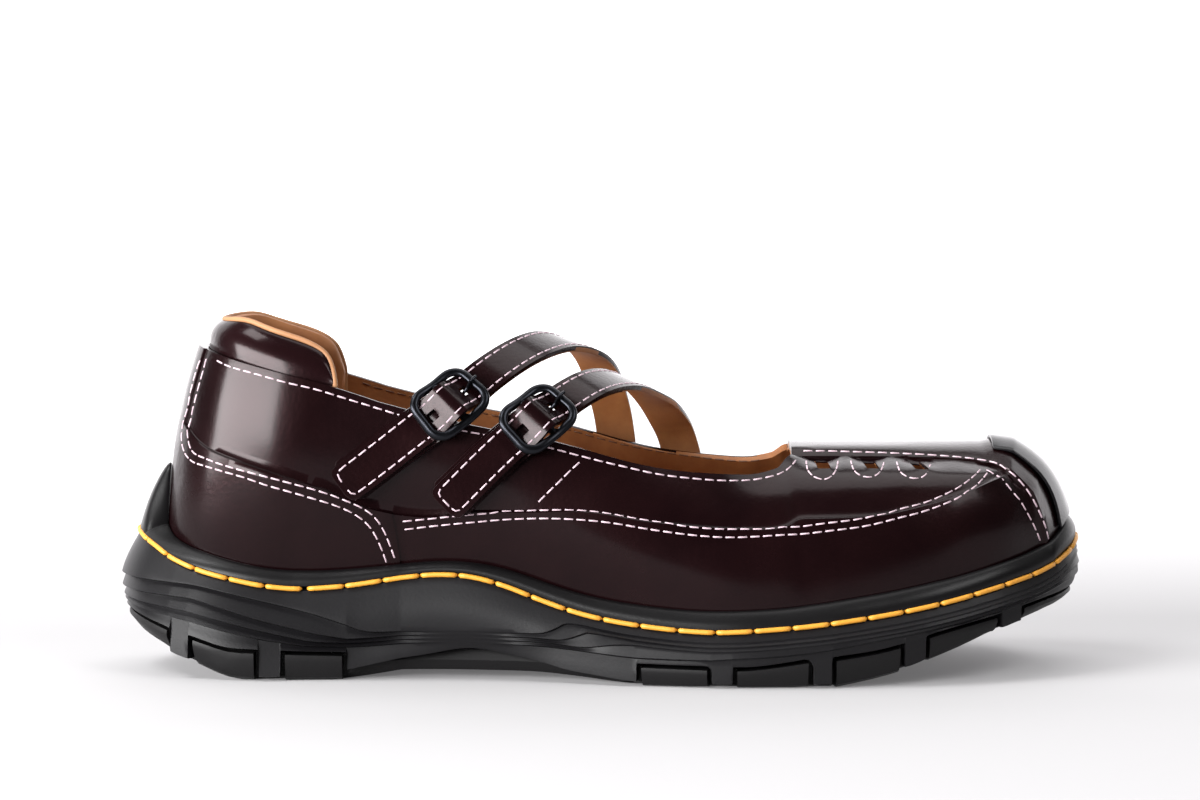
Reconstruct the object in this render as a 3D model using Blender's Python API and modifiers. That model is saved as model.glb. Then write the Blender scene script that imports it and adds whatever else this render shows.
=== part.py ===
"""Mary jane shoe for the right foot: moulded rubber sole, leather upper, two buckled straps.

Metres, +Z up, toe along +X, outer side of the foot along -Y, floor at Z = 0.
"""
import math

import bmesh
import bpy
import numpy as np
from mathutils import Vector

# Driving sizes of the sole
LENGTH = 0.275
BALL_WIDTH = 0.098
HEEL_WIDTH = 0.070
SOLE_HEIGHT = 0.030
TOE_SPRING = 0.0183
HEEL_SPRING = 0.011
ARCH_RISE = 0.0025
TREAD_DEPTH = 0.0075
TREAD_GROOVE = 0.0012
TONGUE_DEPTH = 0.0040
RIB_DEPTH = 0.0017
RIM_HEIGHT = 0.0055
RIM_CREST = 0.0016
RIM_CHEEK = 0.0008
STITCH_GROOVE_HEIGHT = 0.0015
STITCH_GROOVE_DEPTH = 0.0012
INSOLE_THICKNESS = 0.0030

# Driving sizes of the upper
UPPER_HEIGHT = 0.0622
TOE_HEIGHT = 0.0338
WALL = 0.0019
OVERLAY = 0.0009
PLUG_WIDTH = 0.034
PLUG_FOOT_WIDTH = 0.038
EDGE_STEP = 0.0005
SLOT_LENGTH = 0.0070
SLOT_WIDTH = 0.0036
PAD_RISE = 0.0112
PAD_THICKNESS = 0.0065
PAD_DEPTH = 0.0080
GUARD_THICKNESS = 0.0022
GUARD_EDGE_THINNER = 0.55
GUARD_TOP_THINNER = 0.50

# Driving sizes of the straps and buckles
INSTEP_HEIGHT = 0.0640
STRAP_WIDTH = 0.0110
STRAP_THICKNESS = 0.0018
CHAPE_WIDTH = 0.0126
CHAPE_THICKNESS = 0.0012
BUCKLE_LENGTH = 0.0205
BUCKLE_WIDTH = 0.0168
BUCKLE_BAR_WIDTH = 0.0024
BUCKLE_BAR_HEIGHT = 0.0019
CENTRE_BAR_RADIUS = 0.0008
PRONG_RADIUS = 0.0005
STRAP_HOLE = 0.0028
HOLE_PITCH = 0.0062

GAP = 0.0003

# Shares of LENGTH
HEEL_ROUND = 0.145
TOE_ROUND = 0.20
TOP_HEEL = 0.0855
TOP_HEEL_ROUND = 0.110
THROAT = 0.6965
PLUG_FRONT = 0.907
SLOT_STATIONS = (0.7267, 0.7749, 0.8224)
COUNTER_FRONT = 0.295


def monotone(xs, ys, x):
    """Smooth curve through the points that never swings past them."""
    steps = [b - a for a, b in zip(xs, xs[1:])]
    slopes = [(b - a) / h for a, b, h in zip(ys, ys[1:], steps)]
    ends = [slopes[0]]
    for before, after in zip(slopes, slopes[1:]):
        flat = before * after <= 0
        ends.append(0.0 if flat else 2 * before * after / (before + after))
    ends.append(slopes[-1])
    x = min(max(x, xs[0]), xs[-1])
    k = max(i for i in range(len(steps)) if xs[i] <= x)
    t = (x - xs[k]) / steps[k]
    rise = 3 * t ** 2 - 2 * t ** 3
    swing = steps[k] * (ends[k] * (t ** 3 - 2 * t ** 2 + t) + ends[k + 1] * (t ** 3 - t ** 2))
    return ys[k] + (ys[k + 1] - ys[k]) * rise + swing


class Table:
    """A short table of sections: named columns, a row for each station."""

    def __init__(self, names, *rows):
        self.stations = [row[0] for row in rows]
        self.columns = {name: [row[i] for row in rows] for i, name in enumerate(names)}

    def at(self, name, station):
        return monotone(self.stations, self.columns[name], station)


# Half widths of the sole on each side, as shares of half the heel and ball widths,
# and the sideways shift of the centre line as a share of the ball width
PLAN = Table(
    ("station", "lateral_heel", "lateral_ball", "medial_heel", "medial_ball", "centre"),
    (0.00, 0.96, 0.00, 0.96, 0.00, 0.000),
    (0.10, 1.00, 0.00, 0.99, 0.00, 0.000),
    (0.20, 0.98, 0.02, 0.93, 0.02, 0.000),
    (0.30, 0.75, 0.18, 0.68, 0.15, 0.000),
    (0.40, 0.40, 0.48, 0.35, 0.39, 0.000),
    (0.50, 0.10, 0.80, 0.10, 0.69, 0.000),
    (0.58, 0.00, 0.955, 0.00, 0.87, 0.000),
    (0.65, 0.00, 1.00, 0.00, 0.965, 0.000),
    (0.73, 0.00, 0.985, 0.00, 1.00, 0.000),
    (0.80, 0.00, 0.93, 0.00, 0.985, 0.004),
    (0.90, 0.00, 0.83, 0.00, 0.92, 0.018),
    (1.00, 0.00, 0.70, 0.00, 0.80, 0.035),
)

# Tread underside: toe, heel and arch are shares of TOE_SPRING, HEEL_SPRING and ARCH_RISE;
# pod and low are heights over it of the pods' tops and the sidewall's foot, of TREAD_DEPTH
TREAD = Table(
    ("station", "toe", "heel", "arch", "pod", "low"),
    (0.000, 0.00, 1.00, 0.00, 1.00, 0.20),
    (0.026, 0.00, 0.80, 0.00, 1.02, 0.20),
    (0.050, 0.00, 0.60, 0.00, 1.06, 0.20),
    (0.090, 0.00, 0.30, 0.00, 1.12, 0.20),
    (0.130, 0.00, 0.00, 0.00, 1.22, 0.20),
    (0.190, 0.00, 0.00, 0.00, 1.14, 0.20),
    (0.235, 0.00, 0.00, 0.00, 1.09, 0.42),
    (0.310, 0.00, 0.00, 1.00, 0.90, 0.59),
    (0.362, 0.00, 0.00, 1.00, 0.90, 0.93),
    (0.424, 0.00, 0.00, 0.95, 0.90, 0.60),
    (0.470, 0.00, 0.00, 0.60, 0.90, 0.30),
    (0.545, 0.00, 0.00, 0.00, 0.87, 0.20),
    (0.640, 0.00, 0.00, 0.00, 0.82, 0.18),
    (0.735, 0.00, 0.00, 0.00, 1.18, 0.18),
    (0.782, 0.12, 0.00, 0.00, 1.12, 0.18),
    (0.845, 0.43, 0.00, 0.00, 1.00, 0.18),
    (0.918, 0.78, 0.00, 0.00, 0.72, 0.18),
    (0.970, 0.95, 0.00, 0.00, 0.70, 0.20),
    (1.000, 1.00, 0.00, 0.00, 0.76, 0.20),
)

# Stitch row and seat of the upper, shares of SOLE_HEIGHT, and the rim over the stitch row,
# a share of RIM_HEIGHT: it rises into the heel cup at the back
SIDE = Table(
    ("station", "stitch", "seat", "rim"),
    (0.000, 1.320, 1.030, 3.35),
    (0.0015, 1.310, 1.030, 3.10),
    (0.005, 1.300, 1.030, 1.60),
    (0.010, 1.275, 1.030, 0.55),
    (0.026, 1.215, 1.025, 0.42),
    (0.050, 1.110, 1.000, 0.66),
    (0.090, 1.005, 0.940, 0.84),
    (0.145, 0.905, 0.855, 0.90),
    (0.190, 0.862, 0.812, 0.93),
    (0.250, 0.900, 0.850, 0.85),
    (0.305, 0.977, 0.927, 0.75),
    (0.345, 1.003, 0.953, 0.73),
    (0.385, 0.945, 0.895, 0.85),
    (0.430, 0.800, 0.750, 0.98),
    (0.480, 0.655, 0.605, 1.00),
    (0.540, 0.560, 0.510, 1.00),
    (0.610, 0.515, 0.465, 1.00),
    (0.680, 0.548, 0.498, 0.94),
    (0.760, 0.628, 0.578, 1.00),
    (0.840, 0.745, 0.695, 1.03),
    (0.920, 0.905, 0.855, 1.02),
    (0.965, 1.015, 0.965, 1.00),
    (0.990, 1.140, 1.015, 1.00),
    (1.000, 1.235, 1.035, 1.00),
)

# How far in from the outline each edge lies, as shares of BALL_WIDTH: the stitch row, the
# foot of the upper, the tread's lower edge and the undercut of the sidewall's foot
INSET = Table(
    ("station", "stitch", "upper", "tread", "foot"),
    (0.00, 0.056, 0.130, 0.076, 0.015),
    (0.05, 0.050, 0.112, 0.050, 0.012),
    (0.12, 0.040, 0.090, 0.026, 0.008),
    (0.30, 0.032, 0.080, 0.024, 0.030),
    (0.42, 0.028, 0.076, 0.024, 0.030),
    (0.55, 0.026, 0.074, 0.022, 0.008),
    (0.85, 0.024, 0.068, 0.024, 0.008),
    (0.95, 0.018, 0.052, 0.050, 0.012),
    (1.00, 0.012, 0.040, 0.080, 0.018),
)

# Heights of the four grooves in the sidewall, shares of SOLE_HEIGHT, and their depth as a
# share of RIB_DEPTH: heel ribs that run into the arch, then three steps before the ball
RIBS = Table(
    ("station", "first", "second", "third", "fourth", "depth"),
    (0.000, 0.900, 0.780, 0.695, 0.640, 0.7),
    (0.070, 0.880, 0.760, 0.640, 0.550, 1.0),
    (0.145, 0.755, 0.580, 0.480, 0.400, 1.0),
    (0.213, 0.607, 0.430, 0.350, 0.300, 1.0),
    (0.271, 0.430, 0.310, 0.262, 0.215, 0.8),
    (0.310, 0.345, 0.305, 0.280, 0.255, 0.2),
    (0.362, 0.420, 0.390, 0.365, 0.340, 0.0),
    (0.424, 0.350, 0.300, 0.280, 0.262, 0.4),
    (0.445, 0.480, 0.325, 0.235, 0.205, 0.6),
    (0.463, 0.560, 0.415, 0.285, 0.180, 0.6),
    (0.485, 0.580, 0.480, 0.345, 0.180, 0.5),
    (0.515, 0.545, 0.505, 0.378, 0.180, 0.4),
    (0.620, 0.475, 0.435, 0.375, 0.260, 0.25),
    (0.700, 0.525, 0.485, 0.415, 0.310, 0.25),
    (0.830, 0.690, 0.650, 0.590, 0.535, 0.25),
    (0.920, 0.865, 0.825, 0.765, 0.705, 0.25),
    (1.000, 1.170, 1.080, 0.980, 0.890, 0.25),
)

# The pods of the tread, heel to toe: first and last station of each
PODS = ((0.000, 0.051), (0.081, 0.146), (0.178, 0.236), (0.540, 0.606),
        (0.637, 0.709), (0.738, 0.803), (0.834, 0.906), (0.937, 1.000))


# Top line and plug edge: half width of BALL_WIDTH, heights of UPPER_HEIGHT and TOE_HEIGHT,
# lean of the wall at its foot and at its top in degrees, place of the overlay's edge as a
# share of the wall's arc, and the wall's fullness
TOP = Table(
    ("station", "half", "quarter", "vamp", "foot_lean", "top_lean", "edge", "full"),
    (0.0855, 0.270, 1.000, 0.000, -3, 20, 0.67, 0.36),
    (0.120, 0.272, 0.957, 0.000, 4, 14, 0.575, 0.36),
    (0.190, 0.274, 0.884, 0.000, 8, 10, 0.55, 0.36),
    (0.228, 0.278, 0.839, 0.000, 10, 8, 0.51, 0.36),
    (0.289, 0.292, 0.756, 0.000, 12, 8, 0.37, 0.36),
    (0.373, 0.308, 0.667, 0.000, 14, 10, 0.47, 0.36),
    (0.445, 0.318, 0.606, 0.000, 12, 16, 0.58, 0.38),
    (0.500, 0.318, 0.510, 0.060, 8, 24, 0.66, 0.40),
    (0.569, 0.302, 0.238, 0.430, 4, 36, 0.66, 0.42),
    (0.616, 0.282, 0.108, 0.630, 2, 44, 0.64, 0.44),
    (0.660, 0.252, 0.034, 0.755, 1, 54, 0.60, 0.46),
    (0.680, 0.238, 0.014, 0.830, 0, 60, 0.575, 0.46),
    (0.6965, 0.1735, 0.00, 0.945, 0, 66, 0.55, 0.47),
    (0.760, 0.1735, 0.00, 0.935, 0, 72, 0.54, 0.48),
    (0.845, 0.1735, 0.00, 0.908, 0, 76, 0.63, 0.50),
    (0.880, 0.1735, 0.00, 0.880, 0, 78, 0.75, 0.49),
    (0.907, 0.1735, 0.00, 0.845, 0, 80, 0.87, 0.40),
)


# The columns of cells along the side: station at the foot and at the top of the wall
SIDE_COLUMNS = (
    (0.178, 0.212), (0.198, 0.222), (0.212, 0.229), (0.245, 0.252), (0.2945, 0.271),
    (0.296, 0.2725), (0.330, 0.320), (0.365, 0.362), (0.400, 0.400), (0.436, 0.437), (0.472, 0.472),
    (0.508, 0.508), (0.545, 0.544), (0.580, 0.578), (0.612, 0.609), (0.640, 0.637),
    (0.664, 0.660), (0.688, 0.681), (0.704, 0.691),
)
# Heel columns fan round the back; these are degrees round each rounded end
HEEL_FAN = (0, 8, 15, 21, 26, 36, 50, 68, 90)
STRIP_EDGE = 21
# Toe columns fan from the plug's front corner to the toe
TOE_FAN = ((0.868, 0.858), (0.900, 0.875), (0.928, 0.888), (0.951, 0.898))
PLUG_LINES = (1.0, 0.97, 0.60, 0.30, 0.0)


def collection(name):
    made = bpy.data.collections.new(name)
    bpy.context.scene.collection.children.link(made)
    return made


def clear_scene():
    for old in list(bpy.data.objects):
        bpy.data.objects.remove(old, do_unlink=True)


def material(name, colour, roughness, metallic=0.0):
    made = bpy.data.materials.new(name)
    made.use_nodes = True
    shader = made.node_tree.nodes["Principled BSDF"]
    shader.inputs["Base Color"].default_value = (*colour, 1.0)
    shader.inputs["Roughness"].default_value = roughness
    shader.inputs["Metallic"].default_value = metallic
    return made


def add_part(name, points, faces, finish, closed=True):
    """A new object from points and faces, with its faces turned outwards."""
    mesh = bpy.data.meshes.new(name)
    mesh.from_pydata([tuple(p) for p in points], [], faces)
    shape = bmesh.new()
    shape.from_mesh(mesh)
    if closed:
        bmesh.ops.recalc_face_normals(shape, faces=shape.faces)
    shape.to_mesh(mesh)
    shape.free()
    mesh.materials.append(finish)
    mesh.shade_smooth()
    mesh.set_sharp_from_angle(angle=math.radians(40))
    part = bpy.data.objects.new(name, mesh)
    SHOE.objects.link(part)
    return part


def end_round(station):
    """Share of the half width that is left at a station near either rounded end."""
    heel = min(station / HEEL_ROUND, 1.0)
    toe = min((1.0 - station) / TOE_ROUND, 1.0)
    return max(1 - (1 - heel) ** 2, 0) ** 0.5 * max(1 - (1 - toe) ** 2.4, 0) ** (1 / 2.1)


def half_width(side, station):
    name = "lateral" if side < 0 else "medial"
    heel = PLAN.at(name + "_heel", station) * HEEL_WIDTH / 2
    ball = PLAN.at(name + "_ball", station) * BALL_WIDTH / 2
    return (heel + ball) * end_round(station)


def along(station):
    return (station - 0.5) * LENGTH


def centre(station):
    return PLAN.at("centre", station) * BALL_WIDTH


OUTLINE_STEPS = 400


def dense_outline(side):
    """Fine outline of one side of the sole with its outward normals."""
    turns = np.linspace(0, math.pi, OUTLINE_STEPS + 1)
    stations = (1 - np.cos(turns)) / 2
    xs = np.array([along(s) for s in stations])
    ys = np.array([centre(s) + side * half_width(side, s) for s in stations])
    dx = np.gradient(xs)
    dy = np.gradient(ys)
    size = np.hypot(dx, dy)
    nx = -side * dy / size
    ny = side * dx / size
    nx[0], ny[0], nx[-1], ny[-1] = -1, 0, 1, 0
    return turns, xs, ys, nx, ny


def outline(side, station, inset):
    """Plan point of the outline, moved inwards by inset, and its outward normal."""
    turns, xs, ys, nx, ny = OUTLINES[side]
    turn = math.acos(min(max(1 - 2 * station, -1), 1))
    x, y, a, b = (float(np.interp(turn, turns, v)) for v in (xs, ys, nx, ny))
    size = math.hypot(a, b)
    a, b = a / size, b / size
    return Vector((x - a * inset, y - b * inset, 0)), Vector((a, b, 0))


def tread_height(station):
    spring = TOE_SPRING * TREAD.at("toe", station) + HEEL_SPRING * TREAD.at("heel", station)
    return spring + ARCH_RISE * TREAD.at("arch", station)


def pod_top(station):
    return tread_height(station) + TREAD_DEPTH * TREAD.at("pod", station)


def stitch_height(station):
    return SOLE_HEIGHT * SIDE.at("stitch", station)


def seat_height(station):
    return SOLE_HEIGHT * SIDE.at("seat", station)


def rim_height(station):
    return stitch_height(station) + RIM_HEIGHT * SIDE.at("rim", station)


def inset(name, station):
    return INSET.at(name, station) * BALL_WIDTH


def bezier(a, b, c, d, t):
    u = 1 - t
    return a * u ** 3 + b * 3 * u * u * t + c * 3 * u * t * t + d * t ** 3


def wall_curve(side, foot_station, top_station, line=None):
    """Fine section of the inside of the wall, from its foot to its top edge.

    A line, from 0 to 1, puts the section in the centre strip over the toe.
    """
    cover = WALL + OVERLAY
    if line is None:
        foot, out = outline(side, foot_station, inset("upper", foot_station) + cover)
    else:
        foot, out = toe_foot(side, line)
        foot = foot - out * cover
        foot_station = 1.0 - (1.0 - TOE_CORNER[side]) * line ** 2
    foot.z = seat_height(foot_station)
    top = top_point(side, top_station, 1.0 if line is None else line)
    lean = math.radians(TOP.at("foot_lean", top_station))
    tilt = math.radians(TOP.at("top_lean", top_station))
    away = math.radians(90 - 8 * (1 - (line if line is not None else 1)))
    tilt = max(tilt, away) if line is not None and line < 1 else tilt
    top = top - (out * math.cos(tilt) + Vector((0, 0, 1)) * math.sin(tilt)) * WALL
    reach = (top - foot).length * TOP.at("full", top_station)
    rise = foot + (out * math.sin(lean) + Vector((0, 0, 1)) * math.cos(lean)) * reach
    roll = top + (out * math.sin(tilt) - Vector((0, 0, 1)) * math.cos(tilt)) * reach
    return [bezier(foot, rise, roll, top, t) for t in np.linspace(0, 1, 41)]


def toe_foot(side, line):
    """Foot of the wall in the toe strip: a share of its half width from the centre."""
    return outline(side, toe_station(side, line), inset("upper", 1.0))


def toe_station(side, line):
    """Station where the outline at the upper's foot is a share of the strip's half width out."""
    want = line * PLUG_FOOT_WIDTH / 2
    low, high = 0.85, 1.0
    for _ in range(40):
        middle = (low + high) / 2
        spot, _ = outline(side, middle, inset("upper", 1.0))
        if abs(spot.y - centre(1.0)) > want:
            low = middle
        else:
            high = middle
    return high if line > 0 else 1.0


def top_point(side, station, line=1.0):
    """Point of the top line, or of the strip over the toe at a share of its half width."""
    if station < THROAT - 1e-6:
        turn = min((station - TOP_HEEL) / TOP_HEEL_ROUND, 1.0)
        half = TOP.at("half", station) * BALL_WIDTH * max(1 - (1 - turn) ** 2, 0) ** 0.5
        ease = min(max((station - 0.62) / (THROAT - 0.62), 0), 1)
        half = half + (PLUG_WIDTH / 2 - half) * ease ** 10
    else:
        half = PLUG_WIDTH / 2
    height = SOLE_HEIGHT + UPPER_HEIGHT * TOP.at("quarter", station)
    height += TOE_HEIGHT * TOP.at("vamp", station)
    crown = SOLE_HEIGHT + TOE_HEIGHT - height
    shift = centre(1.0) * min(max((station - 0.6) / (PLUG_FRONT - 0.6), 0), 1)
    return Vector((along(station), shift + side * half * line,
                   height + crown * (1 - line ** 2)))


def arc_lengths(points):
    total = [0.0]
    for a, b in zip(points, points[1:]):
        total.append(total[-1] + (b - a).length)
    return total


def point_on(points, lengths, distance):
    xyz = [float(np.interp(distance, lengths, [p[i] for p in points])) for i in range(3)]
    return Vector(xyz)


def distance_at_height(points, lengths, height):
    for k, (a, b) in enumerate(zip(points, points[1:])):
        if b.z >= height:
            share = (height - a.z) / max(b.z - a.z, 1e-9)
            return lengths[k] + max(share, 0) * (lengths[k + 1] - lengths[k])
    return lengths[-1] / 2


ROWS = 9
EDGE_HIGH_ROW = 4
SLOT_ROW = 7


def wall_rows(side, foot_station, top_station, line=None):
    """The rows of one column: foot, rim, two more, overlay edge twice, one more, slot end, top."""
    points = wall_curve(side, foot_station, top_station, line)
    lengths = arc_lengths(points)
    whole = lengths[-1]
    station = foot_station if line is None else 1.0 - (1.0 - TOE_CORNER[side]) * line ** 2
    rim = distance_at_height(points, lengths, rim_height(station))
    edge = max(whole * TOP.at("edge", top_station), rim + 4 * EDGE_STEP)
    left = whole - edge - EDGE_STEP / 2
    slot = whole - min(SLOT_LENGTH, left * 0.6)
    after = edge + EDGE_STEP / 2
    before = edge - EDGE_STEP / 2
    places = [0, rim, rim + (before - rim) / 3, rim + (before - rim) * 2 / 3,
              before, after, (after + slot) / 2, slot, whole]
    return [point_on(points, lengths, place) for place in places]


def make_columns(side):
    """Columns of one side from the heel's centre to the toe's: name, foot, top, toe line."""
    columns = []
    for degrees in HEEL_FAN:
        turn = 1 - math.cos(math.radians(degrees))
        columns.append(("heel", HEEL_ROUND * turn, TOP_HEEL + TOP_HEEL_ROUND * turn, None))
        if degrees == STRIP_EDGE:
            wide = EDGE_STEP / (HEEL_WIDTH / 2)
            turn = 1 - math.cos(math.radians(degrees) + wide)
            top = TOP_HEEL + TOP_HEEL_ROUND * turn
            columns.append(("strip edge", HEEL_ROUND * turn, top, None))
    for foot, top in SIDE_COLUMNS:
        columns.append(("side", foot, top, None))
    columns.append(("throat", 0.716, THROAT, None))
    width = SLOT_WIDTH / LENGTH / 2
    for k, station in enumerate(SLOT_STATIONS):
        lead = 0.011 + 0.005 * k
        columns.append(("slot", station - width + lead, station - width, None))
        columns.append(("slot end", station + width + lead, station + width, None))
        if k < 2:
            middle = (station + SLOT_STATIONS[k + 1]) / 2
            columns.append(("vamp", middle + lead + 0.0025, middle, None))
    for foot, top in TOE_FAN:
        columns.append(("toe", foot, top, None))
    for line in PLUG_LINES:
        columns.append(("strip", toe_station(side, line), PLUG_FRONT, line))
    return columns


def raise_at(column, row, index):
    """Thickness of the wall at a column and row: its base and the overlays on it."""
    kind, foot, top, line = column
    if kind == "strip":
        return WALL + (OVERLAY if line < 1 else 0)
    if kind == "heel" and index <= HEEL_FAN.index(STRIP_EDGE):
        return WALL + OVERLAY
    if row > EDGE_HIGH_ROW:
        return WALL
    if foot < COUNTER_FRONT:
        front = max(0.0, 1 - (COUNTER_FRONT - foot) / 0.05)
        return WALL + OVERLAY * (1 + 0.6 * front)
    fade = min(max((0.905 - top) / 0.02, 0), 1)
    return WALL + OVERLAY * (0.25 + 0.75 * fade)


def upper_cage():
    """Points, thicknesses and faces of the inside of the upper, and each side's index grid."""
    points = []
    thickness = []
    faces = []
    grids = {}

    def add(point, thick):
        points.append(point)
        thickness.append(thick)
        return len(points) - 1

    shared = {}
    for side in (-1, 1):
        columns = COLUMNS[side]
        grid = []
        for k, column in enumerate(columns):
            if k == 0 and "heel" in shared:
                grid.append(shared["heel"])
                continue
            if k == len(columns) - 1 and "toe" in shared:
                grid.append(shared["toe"])
                continue
            rows = wall_rows(side, column[1], column[2], column[3])
            line = [add(p, raise_at(column, r, k)) for r, p in enumerate(rows)]
            grid.append(line)
        shared["heel"] = grid[0]
        shared["toe"] = grid[-1]
        grids[side] = grid
        for k in range(len(columns) - 1):
            for r in range(ROWS - 1):
                if columns[k][0] == "slot" and r == SLOT_ROW:
                    continue
                a, b = grid[k][r], grid[k + 1][r]
                c, d = grid[k + 1][r + 1], grid[k][r + 1]
                faces.append((a, b, c, d) if side < 0 else (d, c, b, a))
    throat = next(k for k, c in enumerate(COLUMNS[-1]) if c[0] == "throat")
    corner = len(COLUMNS[-1]) - len(PLUG_LINES)
    across = [(-1, f) for f in PLUG_LINES] + [(1, f) for f in PLUG_LINES[-2::-1]]
    strip = []
    for k in range(throat, corner):
        station = COLUMNS[-1][k][2]
        line = []
        for side, share in across:
            if share == 1.0:
                line.append(grids[side][k][-1])
                continue
            spot = top_point(side, station, share) - Vector((0, 0, WALL + OVERLAY / 2))
            line.append(add(spot, WALL + OVERLAY))
        strip.append(line)
    front = [grids[-1][corner + k][-1] for k in range(len(PLUG_LINES))]
    front += [grids[1][corner + k][-1] for k in range(len(PLUG_LINES) - 2, -1, -1)]
    strip.append(front)
    for a, b in zip(strip, strip[1:]):
        for k in range(len(across) - 1):
            faces.append((a[k], b[k], b[k + 1], a[k + 1]))
    return points, thickness, faces, grids, strip


def vertex_normals(points, faces):
    shape = bmesh.new()
    spots = [shape.verts.new(p) for p in points]
    for face in faces:
        shape.faces.new([spots[i] for i in face])
    shape.normal_update()
    normals = [v.normal.copy() for v in spots]
    shape.free()
    return normals


def make_upper():
    points, thickness, faces, _, _ = CAGE
    leather = material("oxblood leather", (0.035, 0.011, 0.013), 0.25)
    upper = add_part("upper", points, faces, leather, closed=False)
    most = max(thickness)
    group = upper.vertex_groups.new(name="thickness")
    for k, thick in enumerate(thickness):
        group.add([k], thick / most, "REPLACE")
    shell = upper.modifiers.new("wall", "SOLIDIFY")
    shell.thickness = most
    shell.offset = 1
    shell.use_rim = True
    shell.vertex_group = "thickness"
    return upper


def outer_point(index):
    return CAGE[0][index] + NORMALS[index] * CAGE[1][index]


def ring_faces(count, ring_count, caps=(True, True)):
    """Quads between stacked closed rings, with caps across from side to side."""
    faces = []
    for r in range(ring_count - 1):
        for k in range(count):
            n = (k + 1) % count
            faces.append((r * count + k, r * count + n, (r + 1) * count + n, (r + 1) * count + k))
    for wanted, base in zip(caps, (0, (ring_count - 1) * count)):
        if not wanted:
            continue
        half = count // 2
        faces.append((base, base + 1, base + count - 1))
        for k in range(1, half - 1):
            faces.append((base + k, base + k + 1, base + count - k - 1, base + count - k))
        faces.append((base + half - 1, base + half, base + half + 1))
    return faces


def around(stations):
    """Side and station of each point round the sole: outer side first, then back."""
    lateral = [(-1, s) for s in stations]
    medial = [(1, s) for s in reversed(stations[1:-1])]
    return lateral + medial


BASE_STATIONS = (0.0907, 0.118, 0.178, 0.198, 0.212, 0.262, 0.2945, 0.2968, 0.33, 0.362, 0.394, 0.424,
                 0.445, 0.463, 0.485, 0.512, 0.576, 0.65, 0.678, 0.73, 0.778, 0.868, 0.900,
                 0.928, 0.951, 0.9708, 0.9768, 0.984, 0.9907, 0.9977, 1.0)
HEEL_STEPS = (0, 12, 25, 38)
EDGE_WIDTH = 0.0003


def sole_stations(lead):
    """Stations round the sole; each pod's end has two, lead beyond the pod's own edge."""
    found = [HEEL_ROUND * (1 - math.cos(math.radians(d))) for d in HEEL_STEPS]
    found += list(BASE_STATIONS)
    for first, last in PODS:
        for edge, way in ((first, -1), (last, 1)):
            if 0 < edge < 1:
                found.append(edge + way * lead / LENGTH)
                found.append(edge + way * (lead + EDGE_WIDTH) / LENGTH)
    return sorted(found)


def in_pod(station, lead):
    reach = (lead + EDGE_WIDTH / 2) / LENGTH
    return any(first - reach < station < last + reach for first, last in PODS)


def foot_height(station):
    """Lower edge of the sidewall: over a pod its groove, elsewhere the tongue or arch."""
    if in_pod(station, TREAD_GROOVE):
        return pod_top(station)
    return tread_height(station) + TREAD_DEPTH * TREAD.at("low", station)


def wall_foot(station):
    """Even lower edge of the sidewall, as if the pods ran on between their gaps."""
    return max(pod_top(station), foot_height(station))


def plate_top(station):
    return pod_top(station) - TREAD_GROOVE + GAP


def wall_point(side, station, height, clearance):
    """A point off the outer face of the upper's lowest facet, at a height."""
    columns = COLUMNS[side]
    grid = CAGE[3][side]
    feet = [c[1] for c in columns]
    k = min(max(int(np.searchsorted(feet, station)) - 1, 0), len(feet) - 2)
    share = (station - feet[k]) / max(feet[k + 1] - feet[k], 1e-9)
    share = min(max(share, 0), 1)
    low = outer_point(grid[k][0]).lerp(outer_point(grid[k + 1][0]), share)
    high = outer_point(grid[k][1]).lerp(outer_point(grid[k + 1][1]), share)
    rise = (height - low.z) / max(high.z - low.z, 1e-9)
    spot = low.lerp(high, min(max(rise, -0.2), 1))
    _, out = outline(side, station, inset("upper", station))
    spot = spot + out * clearance
    spot.z = height
    return spot


def floor_height(station):
    """Floor of the sole's cup, a gap below the lower of the wall's two feet."""
    lowest = seat_height(station)
    for side in (-1, 1):
        feet = [c[1] for c in COLUMNS[side]]
        heights = [outer_point(column[0]).z for column in CAGE[3][side]]
        lowest = min(lowest, float(np.interp(station, feet, heights)))
    return lowest - GAP


def wall_inset(station, share):
    """How far in the sidewall stands between the stitch row, 0, and its foot, 1."""
    if share < 0.6:
        return inset("stitch", station) * (1 - share / 0.6) ** 1.5
    return inset("foot", station) * ((share - 0.6) / 0.4) ** 1.6


LINE_NAMES = ("first", "second", "third", "fourth")
LINE_STEP = 0.0005
LINE_SPACING = 0.0012
SHOULDER = 0.0012
JOINT = GAP * 0.75
CUP_CLEARANCE = GAP * 2.5


def ceiling_height(station):
    """Underside of the midsole over the outsole's plate."""
    return max(plate_top(station) + 3 * GAP, foot_height(station) + GAP / 3)


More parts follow.
